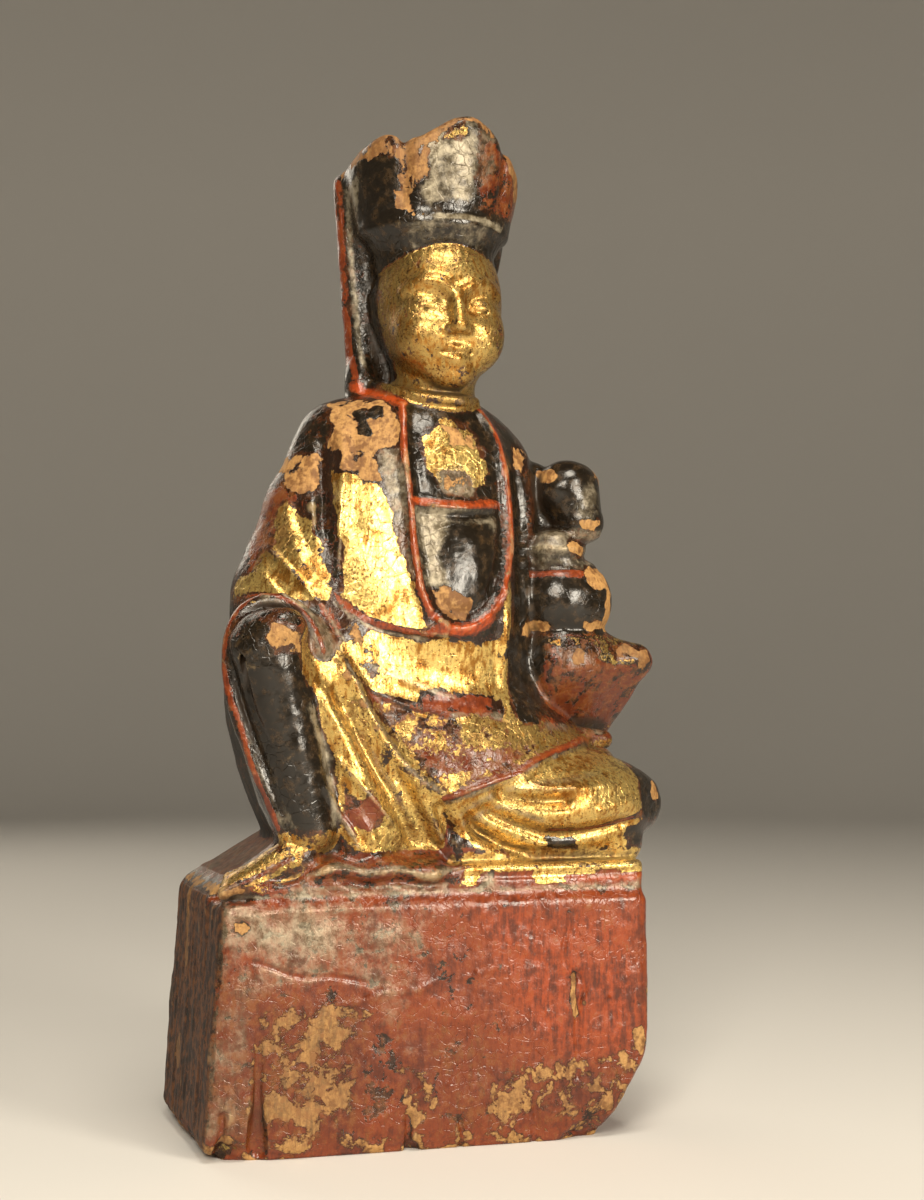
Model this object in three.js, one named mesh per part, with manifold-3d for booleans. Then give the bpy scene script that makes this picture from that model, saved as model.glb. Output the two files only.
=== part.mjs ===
// A seated guanyin with a child, carved with its squared block from one piece of wood.
// Millimetres, +Z up, facing -Y, so that its own right hand is towards -X. The origin is the centre of the
// block's underside. The carving is one distance field, made of rounded forms and of folds drawn as seen from
// the front, and its skin is then thinned to the faces that the carving needs.
import * as THREE from 'three';
import { edgeTable, triTable } from 'three/addons/objects/MarchingCubes.js';
import { mergeVertices } from 'three/addons/utils/BufferGeometryUtils.js';
import Module from 'manifold-3d';

// Driving dimensions
const HEIGHT = 300;
const BLOCK_WIDTH = 131;
const BLOCK_DEPTH = 74;
const BLOCK_HEIGHT = 70;
const BLOCK_FLARE = 5;
const BODY_X = 6.5;
const HEAD_X = 11.5;
const CHIN_Z = 219;
const HAIRLINE_Z = 262;
const CROWN_X = 10.5;
const CROWN_PEAK_X = 15.5;
const LEDGE_Z = 268.5;

// How finely the carving is worked
const GRID_STEP = 1.5;
const GRID_LOW = [-76, -46, -4];
const GRID_HIGH = [88, 46, 306];
const COARSE_CELLS = 5;
const COARSE_REACH = 1.6;
const NEVER_ZERO = 1e-4;
const CORNER_GAP = 0.02;
const BELOW = 2.5;
const TRIANGLES = 9400;
const FACE_WEIGHT = 6;
const LEAST_AREA = 1e-4;
const MOST_TURN = 0.3;
const HOLD = 1e-3;
const LEAST_HOLD = 1e-9;

const clamp = (value, low, high) => Math.min(Math.max(value, low), high);
const step = (low, high, value) => {
  const t = clamp((value - low) / (high - low), 0, 1);
  return t * t * (3 - 2 * t);
};
const bell = (value, width) => Math.exp(-((value / width) ** 2));

// Joins and cuts between distances, with a soft fillet of size k
const join = (a, b, k) => {
  const h = Math.max(k - Math.abs(a - b), 0) / k;
  return Math.min(a, b) - (h * h * k) / 4;
};
const meet = (a, b, k) => -join(-a, -b, k);
const cut = (a, tool, k) => meet(a, -tool, k);

// Rounded forms, each a signed distance that is negative inside
const egg = (p, centre, radii) => {
  const u = p.map((value, i) => (value - centre[i]) / radii[i]);
  const k0 = Math.hypot(...u);
  const k1 = Math.hypot(...u.map((value, i) => value / radii[i]));
  return k1 > 0 ? (k0 * (k0 - 1)) / k1 : -Math.min(...radii);
};
const limb = (p, a, b, ra, rb) => {
  const d = [b[0] - a[0], b[1] - a[1], b[2] - a[2]];
  const q = [p[0] - a[0], p[1] - a[1], p[2] - a[2]];
  const t = clamp((q[0] * d[0] + q[1] * d[1] + q[2] * d[2]) / (d[0] ** 2 + d[1] ** 2 + d[2] ** 2), 0, 1);
  return Math.hypot(q[0] - t * d[0], q[1] - t * d[1], q[2] - t * d[2]) - (ra + (rb - ra) * t);
};
const box = (p, centre, half, radius) => {
  const q = p.map((value, i) => Math.abs(value - centre[i]) - half[i] + radius);
  const outside = Math.hypot(...q.map((value) => Math.max(value, 0)));
  return outside + Math.min(Math.max(...q), 0) - radius;
};
const rope = (points, radius) => {
  const curve = new THREE.CatmullRomCurve3(points.map((point) => new THREE.Vector3(...point)));
  const way = curve.getSpacedPoints(points.length * 3).map((v) => v.toArray());
  return (p) => way.slice(1).reduce((d, point, i) => Math.min(d, limb(p, way[i], point, radius, radius)), 1e3);
};
const mirrored = (p, middle) => [middle + Math.abs(p[0] - middle), p[1], p[2]];

// A fold drawn from the front: its points are [x, z], its height stands out of the surface and fades over
// the widths on its left and right, and it tapers out at both ends
function fold(points, height, leftWidth, rightWidth = leftWidth, taper = 0.15) {
  const curve = new THREE.CatmullRomCurve3(points.map(([x, z]) => new THREE.Vector3(x, 0, z)));
  const way = curve.getSpacedPoints(points.length * 3);
  const margin = 2.5 * Math.max(leftWidth, rightWidth);
  const reach = new THREE.Box3().setFromPoints(way).expandByScalar(margin);
  return (x, z) => {
    if (x < reach.min.x || x > reach.max.x || z < reach.min.z || z > reach.max.z) return 0;
    let nearest = Infinity;
    let side = 1;
    let along = 0;
    for (let i = 1; i < way.length; i += 1) {
      const a = way[i - 1];
      const dx = way[i].x - a.x;
      const dz = way[i].z - a.z;
      const t = clamp(((x - a.x) * dx + (z - a.z) * dz) / (dx * dx + dz * dz), 0, 1);
      const distance = Math.hypot(x - a.x - t * dx, z - a.z - t * dz);
      if (distance < nearest) {
        nearest = distance;
        side = (x - a.x) * dz - (z - a.z) * dx;
        along = (i - 1 + t) / (way.length - 1);
      }
    }
    const ends = step(0, taper, along) * step(1, 1 - taper, along);
    return height * bell(nearest, side < 0 ? leftWidth : rightWidth) * ends;
  };
}

// Folds of the sleeve, the lapel, the neck border and the waist
const TORSO_FOLDS = [
  fold([[-20.5, 211], [-22.5, 184], [-25.5, 156]], 1.6, 2, 3),
  fold([[-25, 207], [-26.5, 184], [-28.5, 160]], -1.8, 2.5, 2),
  fold([[-37, 176], [-32, 160], [-25.5, 146]], 1.8, 2.4),
  fold([[-34, 186], [-31.5, 166], [-27, 152]], -1.6, 2),
  fold([[-30.5, 186], [-29, 170], [-26, 158]], 1.3, 1.8),
  fold([[-42, 168], [-37, 155], [-31, 148]], -1.3, 2.2),
  fold([[-2.5, 216], [-4.4, 199], [-3.6, 184], [-3, 170], [-1.8, 158], [1.4, 150]], 1.5, 1.6, 1.6, 0.03),
  fold([[1.4, 150.4], [8, 146.4], [18, 149.5], [24, 157], [27.5, 167], [29, 178], [28.4, 190], [26.5, 203],
    [21, 215]], 1.5, 1.7, 1.7, 0.03),
  fold([[0, 214], [-1.2, 199], [-0.5, 184], [0, 170], [2, 158], [8, 151], [17, 154], [23, 166], [25, 180],
    [23, 202]], -1, 1.8),
  fold([[-2.5, 183.5], [11, 182.5], [25, 184]], 1.1, 1.4, 1.4, 0.04),
  fold([[-3, 180.5], [11, 179.5], [26, 181]], -0.8, 1.2),
  fold([[-26, 156], [-20, 150.5], [-11, 147], [0, 145], [7, 144.5]], 1.7, 5, 0.9, 0.06),
  fold([[-27.5, 154], [-24.5, 143], [-14, 134], [-1, 129], [8, 126], [22, 125]], 2.1, 3.2, 1.6),
  fold([[-24, 136], [-13, 129], [0, 124], [10, 122]], -1.3, 2.5),
  fold([[26, 160], [25.6, 142], [25.4, 122]], 1.8, 2, 2.2, 0.08),
  fold([[31, 207], [33.5, 180], [32, 156], [31, 124]], -2.2, 2.6),
  fold([[38, 206], [40, 190], [38, 172]], 0.9, 2.4),
];

// Folds of the cloth over the raised leg and between the legs
const LAP_FOLDS = [
  fold([[-41, 137], [-31.5, 126], [-22.5, 109], [-14, 95], [-4, 83]], 1.8, 3.4),
  fold([[-36, 118], [-29, 104], [-21, 90], [-16, 83]], -1.8, 2),
  fold([[-31, 106], [-23.5, 95], [-15, 84]], 1.6, 2),
  fold([[-29, 132], [-18, 110], [-9, 94], [-1, 82]], -2.2, 2),
  fold([[-27, 140], [-18.5, 125], [-12, 113], [-6, 105], [4.5, 98]], 2, 2.2),
  fold([[-11, 108], [-6, 98], [0, 88], [6, 80]], -1.6, 1.8),
  fold([[-6, 104], [-1, 95], [6, 84]], 1.2, 1.8),
  fold([[2, 98], [5.5, 90], [12, 81]], -2.2, 2),
  fold([[-12, 120], [0, 111], [12, 106]], -0.9, 3),
  fold([[22, 123], [38, 119], [56, 114]], 0.9, 4),
];

// Folds of the folded leg and its border
const LEG_FOLDS = [
  fold([[4, 98], [14.5, 101.7], [25.5, 105.3], [34.5, 109.6], [45, 112.8], [55, 114], [63, 110]],
    1.7, 1.6, 2.4, 0.05),
  fold([[17, 100], [28.5, 97.2], [37, 96.8], [43, 97.5]], -2.4, 2.1),
  fold([[8, 91], [13, 95.8], [22, 99.2], [36, 100.4], [52, 101.4], [63, 102]], 0.9, 1.7),
  fold([[12, 97.5], [19.5, 93], [26.5, 90], [33, 88], [38.5, 87.4], [47, 88], [56, 89.8], [66, 92]], -2.5, 2.1),
  fold([[10, 95], [15, 88.5], [23, 84], [33, 81]], -2.2, 1.9),
];

// Ripples of the hem beside the foot, and the lines of its band under the folded leg
const HEM_FOLDS = [
  fold([[-36, 77.2], [-27, 79.8], [-19, 77.6], [-11, 78.8], [-3, 76.6], [6, 78]], 1, 2),
  fold([[-38, 75.4], [-28, 76.4], [-20, 74.2], [-11, 75.4], [-2, 73.8], [7, 75]], -1.2, 1.4),
  fold([[6, 80.4], [38, 80.2], [64, 80.2]], -0.9, 1.1, 1.1, 0.03),
  fold([[8, 76], [36, 75.8], [64, 76.2]], -0.6, 0.9, 0.9, 0.03),
];

const relief = (folds, [x, y, z], edge = -2) => {
  const front = step(edge + 4, edge - 4, y);
  return front > 0 ? front * folds.reduce((sum, height) => sum + height(x, z), 0) : 0;
};

// How far the lower front edge of the block is worn up, along X
const wornEdge = (x) => 2 + 5 * bell(x + 60, 9) + 4.5 * step(36, 46, x);

// The block: wider at the foot on its right, its lower front edge and lower left corner worn, and split
function block(p) {
  const [x, y, z] = p;
  const left = -BLOCK_WIDTH / 2 + (BLOCK_FLARE * z) / BLOCK_HEIGHT - x;
  const right = x - BLOCK_WIDTH / 2;
  const sides = meet(meet(left, right, 3), meet(-BLOCK_DEPTH / 2 - y, y - BLOCK_DEPTH / 2, 3), 4);
  const corner = (x - 55.5) * 0.84 - (z - 9) * 0.54 - (y + 37) * 0.12;
  const frontWear = (wornEdge(x) - z) * 0.64 - (y + 37) * 0.77;
  const leftWear = (4 - z) * 0.7 - (x + 65.5) * 0.71;
  const worn = meet(meet(corner, frontWear, 2), leftWear, 2);
  let d = Math.max(meet(meet(sides, z - BLOCK_HEIGHT, 3), worn, 2), -BELOW - z);
  d = cut(d, limb(p, [-50, -37.5, 42], [-50.5, -37, -2], 0.4, 3.2), 0.8);
  d = cut(d, limb(p, [43.5, -37.6, 47], [43, -37.2, 18], 1.3, 0.6), 0.6);
  return cut(d, limb(p, [-5.5, -38, 3], [-5.5, -34, -1], 1, 2), 0.8);
}

// The robe where it spreads over the block: a ledge with a waved hem in front, slopes on the other sides
function robeFoot(p) {
  const [x, y, z] = p;
  const ledge = box(p, [6, -0.5, 72], [58.5, 35.2, 9], 3);
  const onRight = meet(-0.56 * x + 0.83 * z - 93.4, -x - 60.5, 3);
  const onLeft = meet(0.85 * x + 0.53 * z - 95, x - 62.5, 3);
  const behind = meet(0.78 * y + 0.62 * z - 72.5, y - 36, 3);
  const slopes = Math.max(meet(meet(onRight, onLeft, 4), behind, 4), -y - 16, z - 104, 60 - z);
  const top = z - 75 - 3.4 * step(-44, -30, x) - 1.4 * step(4, 12, x);
  const under = limb(p, [-33, -23, 80], [1, -23, 79], 6.5, 6);
  const ripples = [[-29, 9, 4], [-14, 8, 5.5], [-1, 7, 4.5]].reduce(
    (d, [at, length, rise]) => join(d, egg(p, [at, -30, 77], [length, 7, rise]), 2), 1e3,
  );
  const hem = join(ripples, under, 3);
  return join(join(meet(ledge, top, 2), hem, 2) - relief(HEM_FOLDS, p), slopes, 4);
}

// The raised leg: the shin, the worn hand on the knee, the rim of the robe round them, and the foot with
// its toes turned out to the corner of the block
const KNEE_RIM = rope([
  [-31.5, -29, 141], [-35.5, -27, 150], [-43, -24, 154], [-50, -22, 152.5], [-54.5, -22, 147], [-56, -23, 138],
  [-55.5, -24, 128], [-52.5, -26, 117], [-49, -28, 107], [-45.5, -29, 98], [-41.5, -30, 89],
], 2.3);

const SHIN_GROOVE = rope([[-53, -32, 143], [-53, -31, 128], [-47.5, -34, 112], [-42, -36, 97]], 1.5);

function raisedLeg(p) {
  const shin = limb(p, [-46, -27, 141], [-34, -28, 90], 10.8, 7.6);
  const hand = egg(p, [-43, -33, 146], [7, 6, 6]);
  const foot = limb(p, [-37, -28, 82], [-55, -29.5, 74], 6.4, 4.4);
  const toes = [0, 1, 2, 3].reduce((d, n) => {
    const spread = n * 3;
    return join(d, limb(p, [-41, -32 + spread, 81.5], [-59 + n, -32.5 + spread, 73 + n], 2.3, 2), 1);
  }, foot);
  const leg = join(join(shin, hand, 3), join(KNEE_RIM(p), toes, 3), 1.2);
  return cut(leg, SHIN_GROOVE(p), 1);
}

// The lap, the robe round the raised leg, the back of the robe and the folded leg
function lap(p) {
  const middle = egg(p, [8, -3, 104], [50, 32, 30]);
  const rightRobe = egg(p, [-22, 0, 132], [31, 29, 50]);
  const backRobe = egg(p, [4, 8, 112], [47, 36, 62]);
  const thigh = limb(p, [-44, -17, 139], [-16, 8, 124], 12.5, 24);
  const robeSide = limb(p, [-43, -14, 128], [-34, -17, 92], 10.5, 9);
  const hanging = limb(p, [-34, -21, 138], [-18, -24, 85], 9.5, 9.5);
  const behind = join(backRobe, join(thigh, robeSide, 6), 8);
  const cloth = join(join(join(middle, rightRobe, 8), behind, 8), hanging, 6) - relief(LAP_FOLDS, p);
  const facet = 0.72 * (p[0] - 66) - 0.69 * (p[1] + 30);
  const folded = meet(egg(p, [39, -13, 95.2], [39.5, 25, 17.2]), facet, 1.5);
  const tucked = limb(p, [12, -23.5, 83.5], [60.5, -21, 84.5], 8, 8.5);
  return join(cloth, join(folded, tucked, 2), 2) - relief(LEG_FOLDS, p);
}

function torso(p) {
  const chest = egg(p, [BODY_X, 3, 188], [35, 24, 34]);
  const belly = egg(p, [BODY_X, -2, 152], [33, 28, 38]);
  const upperArm = limb(p, [-17, 6, 203], [-26, 4, 182], 14, 14.2);
  const forearm = limb(p, [-26, 4, 182], [-34.5, 0, 158], 14.2, 16.5);
  const leftArm = limb(p, [29.5, 8, 199], [35, 10, 160], 12.5, 14);
  const panel = egg(p, [12, -14, 166], [14, 14, 18]);
  const back = egg(p, [4, 7, 170], [40, 32, 48]);
  const arms = join(join(upperArm, forearm, 4), leftArm, 4);
  const body = join(join(chest, belly, 8), join(arms, back, 6), 6);
  return join(body, panel, 4) - relief(TORSO_FOLDS, p, 6);
}

// The face is a general one: the hairline, brow, nose and chin a third apart, the eyes half closed
const FACE_THIRD = (HAIRLINE_Z - CHIN_Z) / 3;
const BROW_Z = CHIN_Z + 2 * FACE_THIRD;
const NOSE_Z = CHIN_Z + FACE_THIRD;
const MOUTH_Z = NOSE_Z - FACE_THIRD / 3;
const onFace = (x, y, z) => [HEAD_X + x, y, z];
const BROW = rope([
  onFace(1.8, -21.3, BROW_Z - 0.5), onFace(5, -21.2, BROW_Z + 1.8), onFace(10, -18.9, BROW_Z + 2.2),
  onFace(14.5, -14.8, BROW_Z - 0.6),
], 1.2);
const UPPER_LIP = rope([
  onFace(0, -21.6, MOUTH_Z + 1.2), onFace(1.6, -21.5, MOUTH_Z + 1.5), onFace(5, -19.3, MOUTH_Z + 0.9),
], 1.05);
const LOWER_LIP = rope([onFace(0, -21, MOUTH_Z - 1.5), onFace(3.4, -19.8, MOUTH_Z - 0.9)], 1.25);
const COLLAR = rope([[-9, 6, 222], [-4, -6, 219], [5, -13, 216], [14, -14, 215.5], [21, -8, 216]], 1.6);

const EAR = rope([onFace(17.8, 3.5, NOSE_Z + 15), onFace(17, 3, NOSE_Z + 7), onFace(13.5, 2, NOSE_Z - 2)], 2.3);

function face(p, head) {
  const q = mirrored(p, HEAD_X);
  let d = join(head, egg(q, onFace(8.5, -13.8, NOSE_Z + 1), [8, 8, 9]), 5);
  d = cut(d, egg(q, onFace(7.5, -24.6, BROW_Z - 4), [6.8, 4.8, 4.4]), 3);
  d = join(d, egg(q, onFace(7.6, -17.2, BROW_Z - 5.4), [5.2, 3.9, 3.3]), 0.8);
  d = join(d, BROW(q), 2.4);
  d = join(d, limb(q, onFace(0, -21.2, BROW_Z - 1), onFace(0, -24.6, NOSE_Z + 3.2), 1.7, 2.5), 1.6);
  d = join(d, egg(q, onFace(0, -24.4, NOSE_Z + 2.6), [2.6, 2.4, 2.2]), 0.8);
  d = join(d, egg(q, onFace(2.7, -22.6, NOSE_Z + 1.9), [1.7, 2.3, 1.7]), 0.7);
  d = join(d, UPPER_LIP(q), 0.9);
  d = join(d, LOWER_LIP(q), 0.9);
  d = join(d, egg(q, onFace(0, -15.6, CHIN_Z + 4.2), [7, 4.8, 4.4]), 4);
  return join(d, EAR(q), 1.5);
}

function head(p) {
  const skull = egg(p, [HEAD_X, 0, 248], [19.5, 22, 22]);
  const jaw = egg(p, [HEAD_X, -5, 235], [15.4, 17, 16]);
  const neck = limb(p, [HEAD_X - 2, 0, 205], [HEAD_X - 1, 0, 225], 14, 12.5);
  return join(join(face(p, join(skull, jaw, 8)), neck, 3), COLLAR(p), 1.5);
}

// The rim of the crown: a tall leaf in front, a small one on its right, falling away on its left
function crownRim(x, y) {
  const d = x - CROWN_PEAK_X;
  const tall = d > 0 ? HEIGHT - (0.98 * d * d) / (d + 9) : HEIGHT - 15 + 15 * bell(d, 17);
  const front = tall + 7.3 * bell(x + 9.5, 7.5);
  return front + (HEIGHT - 15 - front) * step(6, 22, y);
}

// The crown over its band of hair, with a ledge at its foot and grooves between its leaves
function crown(p) {
  const [x, y, z] = p;
  const flare = step(LEDGE_Z - 10, LEDGE_Z + 22, z);
  const a = 22.5 + 4.7 * flare;
  const b = 20 + 4.5 * flare;
  const oval = (ra, rb) => (Math.hypot((x - CROWN_X) / ra, (y - 1) / rb) - 1) * rb;
  const leaves = meet(meet(oval(a, b), z - crownRim(x, y), 4), LEDGE_Z - 3 - z, 3);
  const hairline = HAIRLINE_Z + 0.5 - 0.022 * (x - CROWN_X) ** 2;
  const widen = 3.4 * step(HAIRLINE_Z - 3, LEDGE_Z, z);
  const band = meet(meet(oval(18.4 + widen, 18.6 + widen), z - LEDGE_Z, 2), hairline - z, 1.5);
  const ledge = meet(oval(22.8, 22), Math.abs(z - LEDGE_Z) - 1.6, 1.5);
  const grooves = y < 0 ? bell(x + 3.5, 1.8) * 1.3 + bell(x - 27.5, 1.8) * 1.3 : 0;
  const wall = cut(leaves, egg(p, [CROWN_X, 3, HEIGHT - 5], [20, 15, 12]), 3);
  return join(join(wall + grooves * step(LEDGE_Z + 1, LEDGE_Z + 8, z), band, 1.5), ledge, 1.5);
}

// The veil over the back of the head, its right edge a round rim with a deep groove inside it
function veil(p) {
  const [x, y, z] = p;
  const narrow = step(268, 224, z);
  const a = 25.5 - 8.5 * narrow + 2 * step(262, 287, z) + 9 * step(222, 200, z);
  const middle = CROWN_X - 6 * narrow;
  const shell = (Math.hypot((x - middle) / a, (y - 8) / 19) - 1) * 19;
  const creases = 0.7 * Math.cos((x - middle) * 0.62) * step(14, 22, y) * step(286, 268, z);
  const body = meet(meet(shell - creases, 6 - y, 5), Math.max(z - 285, 190 - z), 6);
  const edge = limb(p, [-15, 10, 284], [-10, 12, 224], 3.5, 3.4);
  return join(join(body, edge, 2), egg(p, [-10.5, 8, 222], [4.5, 5.5, 9]), 3);
}

// The child: an egg-shaped head over a scarf, a full jacket, and the skirt over its knees
function child(p) {
  const [x, y, z] = p;
  const skull = limb(p, [52, -5, 189], [54.8, -9, 180.5], 10.8, 7.2);
  const scarf = egg(p, [46.5, -6, 171], [10, 11, 7.5]);
  const jacket = meet(egg(p, [49.5, -7, 156], [15.5, 13.5, 14.5]), 146 - z, 3);
  const knees = limb(p, [49, -8, 137], [71, -13, 138], 13.5, 5.2);
  const under = limb(p, [69, -13, 137], [56, -6, 114], 5.5, 11.5);
  const front = (x - 58) * 0.2 - (y + 21) * 0.75 - (z - 136) * 0.63;
  const seat = limb(p, [51, -5, 137], [51, -3, 113], 16, 13);
  const sill = limb(p, [38, -13, 117], [62, -9, 114], 3, 3);
  const back = limb(p, [42, 3, 192], [44, 2, 160], 8, 10);
  const wedge = meet(join(join(knees, under, 3), seat, 3), front, 1.5);
  const skirt = join(join(wedge, sill, 2), back, 2);
  return join(join(skull, scarf, 2.5), join(jacket, skirt, 1.5), 2);
}

// The back of the robe falls straight, with long shallow folds that spread towards the block
function flatBack([x, y, z], body) {
  const fan = (x - BODY_X) / (1 + 0.004 * (205 - z));
  const folds = Math.cos(fan * 0.5) * step(14, 26, y) * step(204, 180, z);
  return meet(body, y - 33.5 + 0.03 * (z - 75) - 0.9 * folds, 8);
}

function figure(p) {
  const z = p[2];
  let d = z < 90 ? block(p) : z - BLOCK_HEIGHT;
  if (z < 120) d = join(d, robeFoot(p), 2);
  const robes = join(z < 200 ? lap(p) : 1e3, z > 95 ? torso(p) : 1e3, 5);
  d = join(d, flatBack(p, robes), 3);
  if (z < 200) d = join(d, raisedLeg(p), 2.5);
  if (z > 95 && z < 215) d = join(d, child(p), 2);
  if (z > 190) d = join(join(d, head(p), 2.5), join(crown(p), veil(p), 3), 2);
  return d;
}

// Distances on a grid: the far cells are judged from one coarse point, the rest are measured one by one
function sample(distance) {
  const count = GRID_LOW.map((low, i) => Math.ceil((GRID_HIGH[i] - low) / GRID_STEP) + 1);
  const values = new Float32Array(count[0] * count[1] * count[2]);
  const at = (...cell) => cell.map((n, i) => GRID_LOW[i] + n * GRID_STEP);
  const reach = COARSE_CELLS * GRID_STEP * COARSE_REACH;
  const half = (COARSE_CELLS - 1) / 2;
  const span = (from, axis) => Math.min(from + COARSE_CELLS, count[axis]);
  for (let k0 = 0; k0 < count[2]; k0 += COARSE_CELLS)
    for (let j0 = 0; j0 < count[1]; j0 += COARSE_CELLS)
      for (let i0 = 0; i0 < count[0]; i0 += COARSE_CELLS) {
        const middle = distance(at(i0 + half, j0 + half, k0 + half));
        const near = Math.abs(middle) < reach;
        for (let k = k0; k < span(k0, 2); k += 1)
          for (let j = j0; j < span(j0, 1); j += 1)
            for (let i = i0; i < span(i0, 0); i += 1) {
              const value = near ? distance(at(i, j, k)) : middle;
              values[i + count[0] * (j + count[1] * k)] = value || NEVER_ZERO;
            }
      }
  return { values, count, at };
}

// The skin of the grid as triangles, cell by cell
function skin({ values, count, at }) {
  const corners = [[0, 0, 0], [1, 0, 0], [1, 1, 0], [0, 1, 0], [0, 0, 1], [1, 0, 1], [1, 1, 1], [0, 1, 1]];
  const edges = [
    [0, 1], [1, 2], [3, 2], [0, 3], [4, 5], [5, 6], [7, 6], [4, 7], [0, 4], [1, 5], [2, 6], [3, 7],
  ];
  const index = (i, j, k) => i + count[0] * (j + count[1] * k);
  const points = [];
  const triangles = [];
  const known = new Map();
  const crossing = (cell, edge) => {
    const ends = edge.map((c) => corners[c].map((offset, axis) => cell[axis] + offset));
    const [u, v] = ends.map((end) => index(...end));
    const key = u * values.length + v;
    if (!known.has(key)) {
      const t = clamp(values[u] / (values[u] - values[v]), CORNER_GAP, 1 - CORNER_GAP);
      const [p, q] = ends.map((end) => at(...end));
      known.set(key, points.length);
      points.push(p.map((value, axis) => value + (q[axis] - value) * t));
    }
    return known.get(key);
  };
  for (let k = 0; k < count[2] - 1; k += 1)
    for (let j = 0; j < count[1] - 1; j += 1)
      for (let i = 0; i < count[0] - 1; i += 1) {
        let kind = 0;
        for (let bit = 0; bit < 8; bit += 1) {
          const c = corners[bit];
          if (values[index(i + c[0], j + c[1], k + c[2])] < 0) kind |= 1 << bit;
        }
        if (edgeTable[kind] === 0) continue;
        for (let n = kind * 16; triTable[n] !== -1; n += 3)
          triangles.push([0, 2, 1].map((m) => crossing([i, j, k], edges[triTable[n + m]])));
      }
  return { points, triangles };
}

// The plane of a triangle as a unit normal and an offset, with the triangle's area
function planeOf(p, q, r) {
  const u = new THREE.Vector3().subVectors(q, p);
  const v = new THREE.Vector3().subVectors(r, p);
  const normal = u.cross(v);
  const area = normal.length() / 2;
  normal.normalize();
  return { normal, offset: -normal.dot(p), area };
}

// The squared distance to weighted planes, kept as the ten numbers of a symmetric 4 x 4 matrix
const quadric = ({ x, y, z }, d, w) => [
  x * x, x * y, x * z, x * d, y * y, y * z, y * d, z * z, z * d, d * d,
].map((value) => value * w);
const addTo = (q, other) => other.forEach((value, i) => { q[i] += value; });
const costAt = (q, { x, y, z }) => q[0] * x * x + q[4] * y * y + q[7] * z * z + q[9]
  + 2 * (q[1] * x * y + q[2] * x * z + q[5] * y * z + q[3] * x + q[6] * y + q[8] * z);

// The point of least cost for two joined corners, held weakly to the middle of their edge
function bestPoint(q, a, b) {
  const middle = new THREE.Vector3().addVectors(a, b).multiplyScalar(0.5);
  const hold = HOLD * (q[0] + q[4] + q[7]) + LEAST_HOLD;
  const m = new THREE.Matrix3().set(
    q[0] + hold, q[1], q[2], q[1], q[4] + hold, q[5], q[2], q[5], q[7] + hold,
  );
  const right = new THREE.Vector3(-q[3], -q[6], -q[8]).addScaledVector(middle, hold);
  return right.applyMatrix3(m.invert());
}

// A queue that gives back its cheapest entry first
class Queue {
  entries = [];

  push(entry) {
    const e = this.entries;
    let i = e.push(entry) - 1;
    while (i > 0 && e[(i - 1) >> 1].cost > entry.cost) {
      e[i] = e[(i - 1) >> 1];
      i = (i - 1) >> 1;
    }
    e[i] = entry;
  }

  pop() {
    const e = this.entries;
    const first = e[0];
    const last = e.pop();
    let i = 0;
    for (let next = 1; next < e.length; next = 2 * i + 1) {
      if (next + 1 < e.length && e[next + 1].cost < e[next].cost) next += 1;
      if (e[next].cost >= last.cost) break;
      e[i] = e[next];
      i = next;
    }
    if (e.length) e[i] = last;
    return first;
  }
}

// Thins a closed skin to a number of faces: edges are folded to points, those that change the form least first
function thin({ points, triangles }, target, weight) {
  const places = points.map((point) => new THREE.Vector3(...point));
  const faces = triangles.map((corners) => [...corners]);
  const around = places.map(() => new Set());
  const quadrics = places.map(() => new Array(10).fill(0));
  const stamps = places.map(() => 0);
  faces.forEach((face, f) => {
    const { normal, offset, area } = planeOf(...face.map((v) => places[v]));
    const q = quadric(normal, offset, area * weight(places[face[0]]));
    face.forEach((v) => {
      around[v].add(f);
      addTo(quadrics[v], q);
    });
  });
  const neighbours = (v) => new Set([...around[v]].flatMap((f) => faces[f]).filter((other) => other !== v));
  const queue = new Queue();
  const offer = (a, b) => {
    const q = quadrics[a].map((value, i) => value + quadrics[b][i]);
    const place = bestPoint(q, places[a], places[b]);
    queue.push({ cost: costAt(q, place), a, b, place, stamp: stamps[a] + stamps[b] });
  };
  const turns = (v, gone, place) => [...around[v]].some((f) => {
    if (faces[f].includes(gone)) return false;
    const before = planeOf(...faces[f].map((c) => places[c]));
    const after = planeOf(...faces[f].map((c) => (c === v ? place : places[c])));
    return after.area < LEAST_AREA || before.normal.dot(after.normal) < MOST_TURN;
  });
  places.forEach((place, v) => neighbours(v).forEach((other) => { if (other > v) offer(v, other); }));
  for (let left = faces.length; left > target && queue.entries.length;) {
    const { a, b, place, stamp } = queue.pop();
    if (stamps[a] < 0 || stamps[b] < 0 || stamp !== stamps[a] + stamps[b]) continue;
    const shared = [...neighbours(a)].filter((v) => around[v].size && neighbours(b).has(v));
    if (shared.length !== 2 || turns(a, b, place) || turns(b, a, place)) continue;
    for (const f of around[b]) {
      if (faces[f].includes(a)) {
        faces[f].forEach((v) => { if (v !== b) around[v].delete(f); });
        faces[f] = null;
        left -= 1;
      } else {
        faces[f][faces[f].indexOf(b)] = a;
        around[a].add(f);
      }
    }
    around[b].clear();
    addTo(quadrics[a], quadrics[b]);
    places[a].copy(place);
    stamps[b] = -1;
    stamps[a] += 1;
    neighbours(a).forEach((other) => offer(a, other));
  }
  const kept = faces.filter(Boolean);
  const used = [...new Set(kept.flat())];
  const order = new Map(used.map((v, n) => [v, n]));
  return {
    points: used.map((v) => places[v].toArray()),
    triangles: kept.map((face) => face.map((v) => order.get(v))),
  };
}

const wasm = await Module();
wasm.setup();
const solidOf = (points, triangles) => new wasm.Manifold(new wasm.Mesh({
  numProp: 3,
  vertProperties: new Float32Array(points),
  triVerts: new Uint32Array(triangles),
}));

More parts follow.
